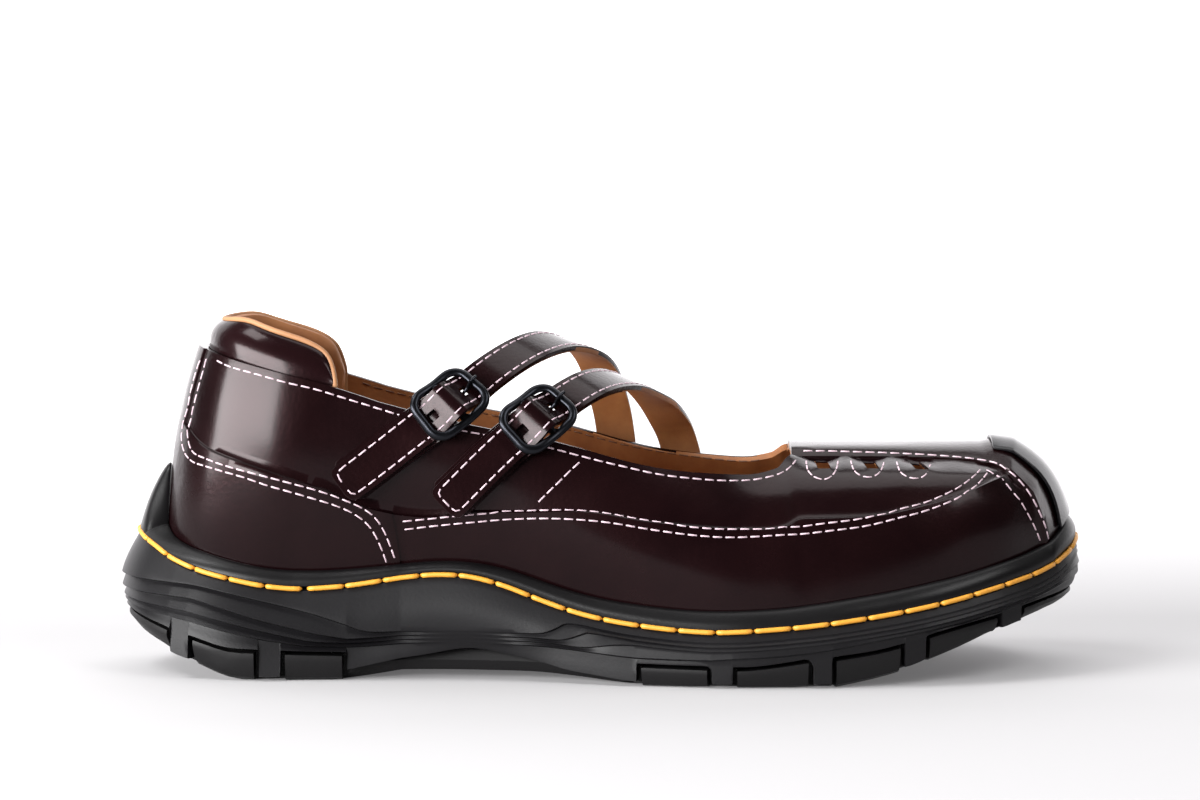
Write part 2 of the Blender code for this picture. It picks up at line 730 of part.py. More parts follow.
def make_midsole():
    stations = sole_stations(TREAD_GROOVE)
    places = around(stations)
    rings = []

    def ring(maker):
        rings.append([maker(side, s) for side, s in places])

    def on_wall(side, s, height, sink=0.0):
        top = stitch_height(s) - STITCH_GROOVE_HEIGHT / 2
        share = min((top - height) / (top - wall_foot(s)), 1)
        spot, _ = outline(side, s, wall_inset(s, share) + sink)
        spot.z = height
        return spot

    def line_height(s, number):
        clear = wall_foot(s) + (len(LINE_NAMES) - number) * LINE_SPACING
        top = stitch_height(s) - STITCH_GROOVE_HEIGHT / 2 - SHOULDER
        top -= LINE_SPACING * (number + 1)
        return min(max(SOLE_HEIGHT * RIBS.at(LINE_NAMES[number], s), clear), top)

    ring(lambda side, s: wall_point(side, s, floor_height(s), CUP_CLEARANCE))
    ring(lambda side, s: wall_point(side, s, stitch_height(s) - JOINT, CUP_CLEARANCE))

    def groove_floor(side, s):
        spot, _ = outline(side, s, inset("stitch", s) + STITCH_GROOVE_DEPTH)
        spot.z = stitch_height(s) - JOINT
        return spot

    ring(groove_floor)
    ring(lambda side, s: on_wall(side, s, stitch_height(s) - STITCH_GROOVE_HEIGHT / 2))

    def shoulder(side, s):
        top = stitch_height(s) - STITCH_GROOVE_HEIGHT / 2
        return on_wall(side, s, (top - SHOULDER + line_height(s, 0)) / 2)

    ring(shoulder)
    for number in range(len(LINE_NAMES)):
        ring(lambda side, s, n=number: on_wall(side, s, line_height(s, n) + LINE_STEP))
        ring(lambda side, s, n=number: on_wall(
            side, s, line_height(s, n), RIB_DEPTH * RIBS.at("depth", s)))
    ring(lambda side, s: on_wall(side, s, foot_height(s)))

    def under(depth, height):
        def maker(side, s):
            spot, _ = outline(side, s, inset("foot", s) + depth)
            spot.z = height(s)
            return spot
        return maker

    ring(under(TONGUE_DEPTH, foot_height))
    ring(under(TONGUE_DEPTH + GAP, ceiling_height))
    points = [p for one in rings for p in one]
    rubber = material("black rubber", (0.042, 0.040, 0.043), 0.5)
    return add_part("midsole", points, ring_faces(len(places), len(rings)), rubber)


def make_outsole():
    stations = sole_stations(0.0)
    places = around(stations)
    back = TONGUE_DEPTH + 3 * GAP

    def maker(drop, height, setback):
        def place(side, s):
            flush = inset("foot", s) + drop * inset("tread", s)
            deep = inset("foot", s) + back
            spot, _ = outline(side, s, flush if in_pod(s, 0.0) and not setback else deep)
            spot.z = height(s)
            return spot
        return place

    def lower(share):
        return lambda s: tread_height(s) + share * (pod_top(s) - TREAD_GROOVE - tread_height(s))

    levels = (maker(1.0, lower(0.0), False), maker(0.45, lower(0.28), False),
              maker(0.1, lower(0.75), False), maker(0.12, lower(1.0), False),
              maker(0, lower(1.0), True), maker(0, plate_top, True))
    points = [place(side, s) for place in levels for side, s in places]
    rubber = material("tread rubber", (0.03, 0.03, 0.032), 0.6)
    return add_part("outsole", points, ring_faces(len(places), len(levels)), rubber)


def upper_places():
    lateral = [(-1, k) for k in range(len(COLUMNS[-1]))]
    medial = [(1, k) for k in range(len(COLUMNS[1]) - 2, 0, -1)]
    return lateral + medial


def column_frame(side, k):
    station = COLUMNS[side][k][1]
    _, out = outline(side, station, inset("upper", station))
    return station, out


def make_welt():
    """The rim: a closed ring whose section has an inner wall, a crest and the groove's roof."""
    sections = []
    for side, k in upper_places():
        s, out = column_frame(side, k)
        base = stitch_height(s) + JOINT
        lip = stitch_height(s) + STITCH_GROOVE_HEIGHT / 2
        crest_point = outer_point(CAGE[3][side][k][1])
        inner_top = crest_point + out * GAP
        inner_base = wall_point(side, s, base, GAP)
        if inner_top.z < base + STITCH_GROOVE_HEIGHT:
            inner_top.z = base + STITCH_GROOVE_HEIGHT
        crest = inner_top + out * RIM_CREST
        crest.z -= GAP / 2
        outer, _ = outline(side, s, inset("stitch", s))
        outer.z = lip
        cheek = crest.lerp(outer, 0.5) + out * RIM_CHEEK
        groove = outer - out * STITCH_GROOVE_DEPTH
        groove.z = base
        sections.append((inner_base, inner_top, crest, cheek, outer, groove))
    count = len(sections[0])
    points = [p for section in sections for p in section]
    faces = []
    for k in range(len(sections)):
        n = (k + 1) % len(sections)
        for j in range(count):
            m = (j + 1) % count
            faces.append((k * count + j, n * count + j, n * count + m, k * count + m))
    rubber = material("rim rubber", (0.05, 0.05, 0.052), 0.42)
    return add_part("welt", points, faces, rubber)


def make_insole():
    rings = [[], [], []]
    places = upper_places()
    for side, k in places:
        s, out = column_frame(side, k)
        line = COLUMNS[side][k]
        low = CAGE[0][CAGE[3][side][k][0]]
        high = CAGE[0][CAGE[3][side][k][1]]
        edge = seat_height(s) + INSOLE_THICKNESS
        share = min(max((edge - low.z) / max(high.z - low.z, 1e-6), 0), 1)
        rim = low.lerp(high, share) - out * 2 * GAP
        base = low - out * 2 * GAP
        base.z = low.z + GAP
        rim.z = low.z + INSOLE_THICKNESS
        dish = rim - out * INSOLE_THICKNESS * 2.5
        if line[0] == "strip" and line[3] == 0:
            dish.y = rim.y
        dish.z -= INSOLE_THICKNESS * 0.3
        for ring, spot in zip(rings, (base, rim, dish)):
            ring.append(spot)
    points = [p for ring in rings for p in ring]
    leather = material("tan leather", (0.37, 0.17, 0.07), 0.6)
    return add_part("insole", points, ring_faces(len(places), len(rings)), leather)


def make_guard():
    """The rubber tongue on the toe front, from the rim up to the front of the strip's top."""
    inner = []
    lines = [k for k, c in enumerate(COLUMNS[-1]) if c[0] == "strip" and c[3] <= 0.6]
    columns = [(-1, k) for k in lines] + [(1, k) for k in reversed(lines[:-1])]
    widths = []
    for side, k in columns:
        grid = CAGE[3][side][k]
        column = []
        for r in range(1, ROWS):
            spot = outer_point(grid[r]) + NORMALS[grid[r]] * GAP
            if r == 1:
                spot = spot.lerp(outer_point(grid[2]) + NORMALS[grid[2]] * GAP, 0.10)
            column.append((spot, NORMALS[grid[r]]))
        inner.append(column)
        widths.append(COLUMNS[side][k][3])
    points = []
    rows = ROWS - 1
    for layer in (0, 1):
        for column, width in zip(inner, widths):
            for r, (spot, normal) in enumerate(column):
                swell = 1.0 - GUARD_EDGE_THINNER * (width / 0.6) ** 2
                swell *= 1.0 - GUARD_TOP_THINNER * (r / (rows - 1)) ** 2
                points.append(spot + normal * GUARD_THICKNESS * swell * layer)
    count = len(columns)
    faces = []
    for layer in (0, 1):
        base = layer * count * rows
        for c in range(count - 1):
            for r in range(rows - 1):
                a = base + c * rows + r
                faces.append((a, a + rows, a + rows + 1, a + 1))
    border = [(c, 0) for c in range(count)] + [(count - 1, r) for r in range(1, rows)]
    border += [(c, rows - 1) for c in range(count - 2, -1, -1)]
    border += [(0, r) for r in range(rows - 2, 0, -1)]
    for (c, r), (d, q) in zip(border, border[1:] + border[:1]):
        a, b = c * rows + r, d * rows + q
        faces.append((a, b, b + count * rows, a + count * rows))
    rubber = material("guard rubber", (0.02, 0.02, 0.022), 0.3)
    return add_part("toe_guard", points, faces, rubber)


# The pad's section: outward share of its thickness and height, a share of its depth below
# the top line, or of its rise over it
PAD_SECTION = ((0.00, -1.00), (0.00, -0.15), (0.12, 0.30), (0.06, 0.72), (-0.30, 1.00),
               (-0.75, 0.98), (-1.00, 0.60), (-1.05, 0.0), (-0.95, -1.00))
PAD_END = 0.229

# How far the pad stands over the top line and how thick it is, as shares of PAD_RISE and
# PAD_THICKNESS
PAD = Table(
    ("station", "rise", "thick"),
    (0.0855, 0.72, 1.00),
    (0.107, 0.90, 1.00),
    (0.125, 1.00, 1.00),
    (0.163, 0.95, 1.00),
    (0.195, 0.93, 0.98),
    (0.212, 0.84, 0.92),
    (0.222, 0.68, 0.84),
    (0.229, 0.15, 0.66),
)


def make_pad():
    """Padded collar: stands inside the wall and bulges up over the top line round the heel."""
    places = [(-1, k) for k in range(len(COLUMNS[-1])) if COLUMNS[-1][k][2] <= PAD_END + 1e-6]
    places = places[::-1] + [(1, k) for _, k in places[1:]]
    sections = []
    for side, k in places:
        top_station = COLUMNS[side][k][2]
        grid = CAGE[3][side][k]
        top = CAGE[0][grid[-1]]
        below = CAGE[0][grid[-2]]
        out = Vector((NORMALS[grid[-1]].x, NORMALS[grid[-1]].y, 0)).normalized()
        down = (below - top).normalized()
        rise = PAD_RISE * PAD.at("rise", top_station)
        thick = PAD_THICKNESS * PAD.at("thick", top_station)
        section = []
        for across, height in PAD_SECTION:
            if height <= 0:
                spot = top + down * PAD_DEPTH * -height
            else:
                spot = top + Vector((0, 0, rise * height)) - out * rise * height * 0.25
            section.append(spot + out * (across * thick - 2 * GAP))
        sections.append(section)
    count = len(PAD_SECTION)
    points = [p for section in sections for p in section]
    faces = []
    for k in range(len(sections) - 1):
        for j in range(count):
            m = (j + 1) % count
            a = k * count
            b = a + count
            faces.append((a + j, b + j, b + m, a + m))
    faces.append(tuple(range(count)))
    faces.append(tuple(range((len(sections) - 1) * count, len(sections) * count)))
    leather = material("pad leather", (0.06, 0.02, 0.024), 0.25)
    return add_part("heel_pad", points, faces, leather)


# Straps from the tail on the outer side to the end sewn on the inner side. Along is a
# station, across a share of half BALL_WIDTH, height a share of INSTEP_HEIGHT over the sole,
# face the turn of the strap's face from the outer side, and lean its tilt to the toe
STRAPS = {
    "rear": Table(
        ("row", "along", "across", "height", "face", "lean"),
        (0, 0.2353, -0.700, 0.384, 4, 0),
        (1, 0.2754, -0.690, 0.513, 6, 0),
        (2, 0.3133, -0.665, 0.640, 16, 4),
        (3, 0.3463, -0.605, 0.750, 36, 10),
        (4, 0.3801, -0.495, 0.854, 54, 16),
        (5, 0.4049, -0.375, 0.924, 66, 20),
        (6, 0.4300, -0.215, 0.974, 78, 24),
        (7, 0.4530, 0.000, 0.991, 92, 26),
        (8, 0.4765, 0.225, 0.950, 108, 24),
        (9, 0.4935, 0.400, 0.880, 126, 18),
        (10, 0.5030, 0.540, 0.780, 146, 10),
        (11, 0.5105, 0.640, 0.655, 164, 4),
        (12, 0.5150, 0.690, 0.560, 172, 0),
        (13, 0.5175, 0.700, 0.455, 174, 0),
    ),
    "front": Table(
        ("row", "along", "across", "height", "face", "lean"),
        (0, 0.3398, -0.740, 0.304, 4, 0),
        (1, 0.3738, -0.730, 0.449, 8, 0),
        (2, 0.4037, -0.700, 0.574, 18, 4),
        (3, 0.4364, -0.620, 0.690, 38, 10),
        (4, 0.4660, -0.505, 0.768, 56, 16),
        (5, 0.4866, -0.385, 0.810, 68, 20),
        (6, 0.5045, -0.215, 0.826, 80, 24),
        (7, 0.5249, 0.000, 0.812, 94, 26),
        (8, 0.5385, 0.235, 0.765, 110, 24),
        (9, 0.5535, 0.410, 0.705, 126, 20),
        (10, 0.5645, 0.520, 0.650, 140, 14),
        (11, 0.5750, 0.600, 0.570, 156, 8),
        (12, 0.5835, 0.640, 0.492, 166, 2),
        (13, 0.5880, 0.660, 0.395, 170, 0),
    ),
}
BUCKLE_ROW = {"rear": 3.0, "front": 3.0}


def side_wall(side, x, z):
    """Outward reach of the upper's outer face at a place on its side, or None above it."""
    best = None
    grid = CAGE[3][side]
    for a, b in zip(grid, grid[1:]):
        for r in range(ROWS - 1):
            corners = [outer_point(i) for i in (a[r], b[r], b[r + 1], a[r + 1])]
            for three in ((0, 1, 2), (0, 2, 3)):
                p, q, s = (corners[i] for i in three)
                det = (q.x - p.x) * (s.z - p.z) - (s.x - p.x) * (q.z - p.z)
                if abs(det) < 1e-12:
                    continue
                u = ((x - p.x) * (s.z - p.z) - (s.x - p.x) * (z - p.z)) / det
                v = ((q.x - p.x) * (z - p.z) - (x - p.x) * (q.z - p.z)) / det
                if u >= -0.01 and v >= -0.01 and u + v <= 1.01:
                    y = abs(p.y + u * (q.y - p.y) + v * (s.y - p.y))
                    best = y if best is None else max(best, y)
    return best


TAIL_STACK = OVERLAY + GAP + CHAPE_THICKNESS + GAP + STRAP_THICKNESS / 2
SEWN_STACK = 5.5 * GAP + STRAP_THICKNESS / 2


class StrapPath:
    """Centre line of a strap with its outward and sideways directions."""

    def __init__(self, name):
        table = STRAPS[name]
        last = table.stations[-1]
        self.rows = np.linspace(0, last, 14 * 6 + 1)
        spots = []
        outs = []
        for row in self.rows:
            x = along(table.at("along", row))
            y = table.at("across", row) * BALL_WIDTH / 2
            z = SOLE_HEIGHT + INSTEP_HEIGHT * table.at("height", row)
            face = math.radians(table.at("face", row))
            lean = math.radians(table.at("lean", row))
            side = -1 if row < last / 2 else 1
            stack = TAIL_STACK if side < 0 else SEWN_STACK
            wall = side_wall(side, x, z)
            if wall is None:
                wall = side_wall(side, x, z - STRAP_WIDTH * 0.55)
            if wall is not None:
                y = side * max(abs(y), wall + stack)
            spots.append(Vector((x, y, z)))
            out = Vector((math.sin(lean), -math.cos(face) * math.cos(lean),
                          math.sin(face) * math.cos(lean)))
            outs.append(out)
        for _ in range(14):
            inner = [(a + b * 2 + c) / 4 for a, b, c in zip(spots, spots[1:], spots[2:])]
            spots = [spots[0]] + inner + [spots[-1]]
        self.spots = spots
        self.outs = outs
        self.lengths = arc_lengths(spots)
        self.total = self.lengths[-1]
        self.buckle = float(np.interp(BUCKLE_ROW[name], self.rows, self.lengths))

    def frame(self, distance):
        d = min(max(distance, 0), self.total)
        spot = point_on(self.spots, self.lengths, d)
        out = point_on(self.outs, self.lengths, d)
        step = 0.0015
        ahead = point_on(self.spots, self.lengths, min(d + step, self.total))
        behind = point_on(self.spots, self.lengths, max(d - step, 0))
        forward = (ahead - behind).normalized()
        out = (out - forward * out.dot(forward)).normalized()
        across = out.cross(forward).normalized()
        return spot, forward, across, out

    def place(self, distance, across, height):
        spot, forward, sideways, out = self.frame(distance)
        return spot + sideways * across + out * height


HUMP = CENTRE_BAR_RADIUS * 1.2 + STRAP_THICKNESS / 2 + 1.5 * GAP
DIP = 0.0006


def strap_height(offset):
    """Height of the strap's middle at an offset from its buckle: over the bar, under the ends."""
    over = HUMP * math.exp(-(offset / (BUCKLE_LENGTH * 0.16)) ** 2)
    ends = abs(offset) - BUCKLE_LENGTH * 0.44
    return over - DIP * math.exp(-(ends / (BUCKLE_LENGTH * 0.2)) ** 2)


NEAR_BUCKLE = (-0.62, -0.50, -0.40, -0.13, -0.06, 0, 0.06, 0.13, 0.43, 0.5, 0.62)


def make_strap(name, path):
    """A strap as an open ribbon, thickened; the cells of its holes are left out."""
    half = STRAP_WIDTH / 2
    hole = STRAP_HOLE / 2
    holes = [path.buckle + HOLE_PITCH * n for n in (-1.95, -0.95, 0.90)]
    stops = [0.0, 0.0008, 0.0020, 0.0045]
    stops += list(np.arange(0.010, path.total - 0.003, 0.0065)) + [path.total]
    stops = [d for d in stops if all(abs(d - h) > 0.0030 for h in holes)]
    near = [path.buckle + BUCKLE_LENGTH * n for n in NEAR_BUCKLE]
    stops = [d for d in stops if abs(d - path.buckle) > BUCKLE_LENGTH * 0.66] + near
    for h in holes:
        stops += [h - hole, h + hole]
    stops = sorted(stops)
    points = []
    faces = []
    lines = (-half, -hole, hole, half)
    for d in stops:
        tip = max(0.0, 1 - d / (half * 0.5))
        narrow = 0.55 + 0.45 * math.sqrt(max(1 - tip ** 2, 0))
        for b in lines:
            points.append(path.place(d, b * narrow, strap_height(d - path.buckle)))
    count = len(lines)
    for k, (d, e) in enumerate(zip(stops, stops[1:])):
        for j in range(count - 1):
            if j == 1 and any(abs((d + e) / 2 - h) < 1e-6 for h in holes):
                continue
            a = k * count + j
            faces.append((a, a + count, a + count + 1, a + 1))
    leather = material(f"strap leather {name}", (0.035, 0.011, 0.013), 0.25)
    strap = add_part(f"strap_{name}", points, faces, leather, closed=False)
    ribbon = strap.modifiers.new("thickness", "SOLIDIFY")
    ribbon.thickness = STRAP_THICKNESS
    ribbon.offset = 0
    return strap


def make_chape(name, path):
    """Leather underlay from beyond the strap's tail to the buckle's centre bar."""
    half = CHAPE_WIDTH / 2
    level = -(STRAP_THICKNESS / 2 + GAP + CHAPE_THICKNESS / 2)
    end = path.buckle - CENTRE_BAR_RADIUS - PRONG_RADIUS * 2 - 3 * GAP
    points = []
    faces = []
    stops = np.linspace(0.0, end, 12)
    for d in stops:
        tip = max(0.0, 1 - d / (half * 0.5))
        narrow = 0.55 + 0.45 * math.sqrt(max(1 - tip ** 2, 0))
        sink = min(strap_height(d - path.buckle), 0)
        for b in (-half, 0, half):
            points.append(path.place(d, b * narrow, level + sink))
    for k in range(len(stops) - 1):
        for j in range(2):
            a = k * 3 + j
            faces.append((a, a + 3, a + 4, a + 1))
    leather = material(f"chape leather {name}", (0.03, 0.01, 0.012), 0.3)
    chape = add_part(f"chape_{name}", points, faces, leather, closed=False)
    sheet = chape.modifiers.new("thickness", "SOLIDIFY")
    sheet.thickness = CHAPE_THICKNESS
    sheet.offset = 0
    return chape


FRAME_CORNER = 0.0042
FRAME_TURNS = 5


def frame_height(offset):
    """Middle of the frame over the strap's nominal middle: low at its centre bar, high at ends."""
    low = CENTRE_BAR_RADIUS * 0.1
    high = strap_height(BUCKLE_LENGTH / 2) + STRAP_THICKNESS / 2 + 2 * GAP + BUCKLE_BAR_HEIGHT / 2
    return low + (high + GAP - low) * min(abs(offset) / (BUCKLE_LENGTH / 2), 1) ** 1.5


def frame_loop():
    """Rounded rectangle of the frame's middle line, in strap coordinates, with its normals."""
    x = BUCKLE_LENGTH / 2 - BUCKLE_BAR_WIDTH / 2 - FRAME_CORNER
    y = BUCKLE_WIDTH / 2 - BUCKLE_BAR_WIDTH / 2 - FRAME_CORNER
    loop = []
    for number, (sx, sy) in enumerate(((1, 1), (-1, 1), (-1, -1), (1, -1))):
        for k in range(FRAME_TURNS):
            turn = math.radians(90 * number + 90 * k / (FRAME_TURNS - 1))
            normal = (math.cos(turn), math.sin(turn))
            loop.append((sx * x + FRAME_CORNER * normal[0],
                         sy * y + FRAME_CORNER * normal[1], *normal))
    return loop


# An eight-sided bar this much larger has the cross-section of a round one
OCTAGON = 1.05


def make_buckle(name, path):
    """Frame swept round a rounded rectangle that follows the strap's curve, and its bar."""
    loop = frame_loop()
    spread = []
    for a, b in zip(loop, loop[1:] + loop[:1]):
        spread.append(a)
        if math.dist(a[:2], b[:2]) > BUCKLE_BAR_WIDTH * 1.5:
            for share in (0.25, 0.5, 0.75):
                spread.append(tuple(p + (q - p) * share for p, q in zip(a, b)))
    half_w = BUCKLE_BAR_WIDTH / 2 * OCTAGON
    half_h = BUCKLE_BAR_HEIGHT / 2 * OCTAGON
    section = [(math.cos(math.radians(45 * k + 22.5)), math.sin(math.radians(45 * k + 22.5)))
               for k in range(8)]
    points = []
    faces = []
    for x, y, nx, ny in spread:
        middle = frame_height(x)
        for u, v in section:
            place = (path.buckle + x + nx * u * half_w, y + ny * u * half_w)
            points.append(path.place(*place, middle + v * half_h))
    count = len(section)
    for k in range(len(spread)):
        n = (k + 1) % len(spread)
        for j in range(count):
            m = (j + 1) % count
            faces.append((k * count + j, n * count + j, n * count + m, k * count + m))
    gunmetal = material(f"gunmetal {name}", (0.03, 0.031, 0.033), 0.22, 0.9)
    frame = add_part(f"buckle_{name}", points, faces, gunmetal)
    spot, forward, sideways, out = path.frame(path.buckle)
    shape = bmesh.new()
    reach = BUCKLE_WIDTH - BUCKLE_BAR_WIDTH
    bmesh.ops.create_cone(shape, cap_ends=True, segments=8, radius1=CENTRE_BAR_RADIUS,
                          radius2=CENTRE_BAR_RADIUS, depth=reach)
    bar_mesh = bpy.data.meshes.new(f"centre bar {name}")
    shape.to_mesh(bar_mesh)
    shape.free()
    bar = bpy.data.objects.new(f"centre_bar_{name}", bar_mesh)
    CUTTERS.objects.link(bar)
    bar.hide_render = True
    bar.display_type = "WIRE"
    bar.rotation_mode = "QUATERNION"
    bar.rotation_quaternion = sideways.to_track_quat("Z", "Y")
    bar.location = spot + out * frame_height(0)
    join = frame.modifiers.new("centre bar", "BOOLEAN")
    join.operation = "UNION"
    join.solver = "EXACT"
    join.object = bar
    return frame


def make_prong(name, path):
    """The prong: hooked under the centre bar, up through the hole, resting on the far end."""
    ring = CENTRE_BAR_RADIUS + PRONG_RADIUS + GAP
    bar = frame_height(0)
    hole = HOLE_PITCH * 0.90
    rest = frame_height(BUCKLE_LENGTH / 2 - BUCKLE_BAR_WIDTH / 2) + BUCKLE_BAR_HEIGHT / 2
    rest += PRONG_RADIUS + 1.6 * GAP
    route = []
    for degrees in (215, 245, 275):
        turn = math.radians(degrees)
        route.append((ring * math.cos(turn), bar + ring * math.sin(turn)))
    clear = PRONG_RADIUS + 1.3 * GAP
    near = hole - STRAP_HOLE / 2
    far = hole + STRAP_HOLE / 2

    def under_strap(offset, depth):
        return offset, strap_height(offset) - STRAP_THICKNESS / 2 - depth

    route += [under_strap(near * 0.72, clear), under_strap(near, clear * 1.05),
              under_strap(near + clear, 0),
              (far - clear, strap_height(far - clear) + STRAP_THICKNESS / 2),
              (far, strap_height(far) + STRAP_THICKNESS / 2 + clear),
              (BUCKLE_LENGTH / 2 - BUCKLE_BAR_WIDTH * 1.1, rest),
              (BUCKLE_LENGTH / 2 - BUCKLE_BAR_WIDTH * 0.15, rest)]
    curve = bpy.data.curves.new(f"prong {name}", "CURVE")
    curve.dimensions = "3D"
    curve.bevel_depth = PRONG_RADIUS
    curve.bevel_resolution = 1
    curve.use_fill_caps = True
    spline = curve.splines.new("POLY")
    spline.points.add(len(route) - 1)
    for spot, (offset, height) in zip(spline.points, route):
        spot.co = (*path.place(path.buckle + offset, 0, height), 1)
    curve.materials.append(material(f"prong steel {name}", (0.05, 0.05, 0.055), 0.25, 0.9))
    prong = bpy.data.objects.new(f"prong_{name}", curve)
    SHOE.objects.link(prong)
    return prong


clear_scene()
SHOE = collection("mary_jane_shoe")
CUTTERS = collection("cutters")
OUTLINES = {side: dense_outline(side) for side in (-1, 1)}
TOE_CORNER = {side: toe_station(side, 1.0) for side in (-1, 1)}
COLUMNS = {side: make_columns(side) for side in (-1, 1)}
CAGE = upper_cage()
NORMALS = vertex_normals(CAGE[0], CAGE[2])

make_upper()
make_outsole()
make_midsole()
make_welt()
make_insole()
make_guard()
make_pad()
for strap_name in ("rear", "front"):
    strap_path = StrapPath(strap_name)
    make_chape(strap_name, strap_path)
    make_strap(strap_name, strap_path)
    make_buckle(strap_name, strap_path)
    make_prong(strap_name, strap_path)
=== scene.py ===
"""Looks of the mary jane shoe: polished leather, contrast stitching and moulded rubber.

Toe along +X, outer side of the foot along -Y, metres. The camera looks along +Y.
"""
import math

import bmesh
import bpy
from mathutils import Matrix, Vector
from mathutils.bvhtree import BVHTree


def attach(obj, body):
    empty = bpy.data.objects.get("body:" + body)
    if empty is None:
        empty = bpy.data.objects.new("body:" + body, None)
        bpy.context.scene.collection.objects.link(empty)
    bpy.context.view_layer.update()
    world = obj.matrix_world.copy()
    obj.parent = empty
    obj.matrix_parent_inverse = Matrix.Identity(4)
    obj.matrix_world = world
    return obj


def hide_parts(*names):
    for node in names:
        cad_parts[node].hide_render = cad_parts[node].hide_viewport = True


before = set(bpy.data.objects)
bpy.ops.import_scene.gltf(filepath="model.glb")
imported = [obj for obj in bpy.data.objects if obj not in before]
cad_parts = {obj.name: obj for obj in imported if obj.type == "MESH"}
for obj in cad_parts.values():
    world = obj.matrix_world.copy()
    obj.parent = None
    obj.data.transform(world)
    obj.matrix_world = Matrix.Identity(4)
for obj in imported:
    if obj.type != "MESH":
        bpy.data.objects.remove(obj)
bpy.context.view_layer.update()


# ---------------------------------------------------------------- camera, floor and light
# The photograph is a side view of the outer side from just above the floor, taken with a
# long lens against a white sweep. A large soft light hangs overhead, a long strip and a small
# one stand at the left front, and a weak one stands at the right front.
CAMERA_DISTANCE = 1.25
CAMERA_ELEVATION = math.radians(5.0)
FRAME_WIDTH = 0.3435
SENSOR = 36.0
AIM = Vector((-0.0003, 0.0, 0.0762))


def linear(code):
    """Linear colour of an sRGB hex code."""
    parts = [int(code[i:i + 2], 16) / 255 for i in (1, 3, 5)]
    return (*[c / 12.92 if c <= 0.04045 else ((c + 0.055) / 1.055) ** 2.4 for c in parts], 1.0)


def add_node(tree, kind, settings, links):
    """A shader node with its settings, and its inputs set to values or linked to sockets."""
    node = tree.nodes.new(kind)
    for name, value in settings.items():
        setattr(node, name, value)
    for name, source in links.items():
        if isinstance(source, bpy.types.NodeSocket):
            tree.links.new(source, node.inputs[name])
        else:
            node.inputs[name].default_value = source
    return node


def deselect():
    for thing in bpy.context.selected_objects:
        thing.select_set(False)


def choose(piece):
    """Make a piece the only selected one and the active one."""
    deselect()
    piece.select_set(True)
    bpy.context.view_layer.objects.active = piece


lens = bpy.data.cameras.new("camera")
lens.sensor_width = SENSOR
lens.lens = SENSOR * CAMERA_DISTANCE / FRAME_WIDTH
lens.clip_start = 0.05
lens.clip_end = 20
camera = bpy.data.objects.new("camera", lens)
bpy.context.scene.collection.objects.link(camera)
view_from = Vector((0, -math.cos(CAMERA_ELEVATION), math.sin(CAMERA_ELEVATION)))
camera.location = AIM + view_from * CAMERA_DISTANCE
camera.rotation_euler = (math.radians(90) - CAMERA_ELEVATION, 0, 0)
bpy.context.scene.camera = camera

SWEEP_HALF = 9.0
SWEEP_BACK = 5.0
SWEEP_HEIGHT = 6.0
EDGE_FINDER = 0.01
deselect()
bpy.ops.mesh.primitive_plane_add(size=2 * SWEEP_HALF, location=(0, SWEEP_BACK - SWEEP_HALF, 0))
sweep = bpy.context.object
sweep.name = "white_sweep"
bpy.ops.object.transform_apply(location=True, rotation=True, scale=True)
bpy.ops.object.mode_set(mode="EDIT")
bpy.ops.mesh.select_mode(type="EDGE")
bpy.ops.mesh.select_all(action="DESELECT")
bpy.ops.object.mode_set(mode="OBJECT")
for edge in sweep.data.edges:
    edge.select = all(sweep.data.vertices[k].co.y > SWEEP_BACK - EDGE_FINDER for k in edge.vertices)
bpy.ops.object.mode_set(mode="EDIT")
bpy.ops.mesh.extrude_region_move(TRANSFORM_OT_translate={"value": (0, 0, SWEEP_HEIGHT)})
bpy.ops.object.mode_set(mode="OBJECT")


# The paper has a painted glow, faint near the shoe and strong far behind it, so that no horizon
# shows there
GLOW_STARTS = 0.10
GLOW_FULL = 1.6
GLOW_NEAR = 0.12
GLOW_FAR = 2.2
paper = bpy.data.materials.new("white paper with painted glow")
paper.use_nodes = True
tree = paper.node_tree
shader = tree.nodes["Principled BSDF"]
shader.inputs["Base Color"].default_value = linear("#a8a7a8")
shader.inputs["Roughness"].default_value = 0.9
shader.inputs["Specular IOR Level"].default_value = 0.1
shader.inputs["Emission Color"].default_value = linear("#fffdff")
paper_place = add_node(tree, "ShaderNodeTexCoord", {}, {}).outputs["Object"]
depth = add_node(tree, "ShaderNodeSeparateXYZ", {}, {"Vector": paper_place}).outputs["Y"]
glow = add_node(tree, "ShaderNodeMapRange", {}, {
    "Value": depth, "From Min": GLOW_STARTS, "From Max": GLOW_FULL,
    "To Min": GLOW_NEAR, "To Max": GLOW_FAR})
# Painted glow: the paper's emission strength rises with its depth behind the shoe
tree.links.new(glow.outputs["Result"], shader.inputs["Emission Strength"])
sweep.data.materials.append(paper)

world = bpy.data.worlds.new("white room")
bpy.context.scene.world = world
world.use_nodes = True
world.node_tree.nodes["Background"].inputs["Color"].default_value = linear("#ffffff")
world.node_tree.nodes["Background"].inputs["Strength"].default_value = 0.1
bpy.context.scene.view_settings.view_transform = "Standard"


def soft_light(name, place, target, width, height, power):
    """A rectangular soft light that faces a point."""
    lamp = bpy.data.lights.new(name, "AREA")
    lamp.shape = "RECTANGLE"
    lamp.size = width
    lamp.size_y = height
    lamp.energy = power
    holder = bpy.data.objects.new(name, lamp)
    bpy.context.scene.collection.objects.link(holder)
    holder.location = place
    holder.rotation_euler = (Vector(target) - Vector(place)).to_track_quat("-Z", "Y").to_euler()


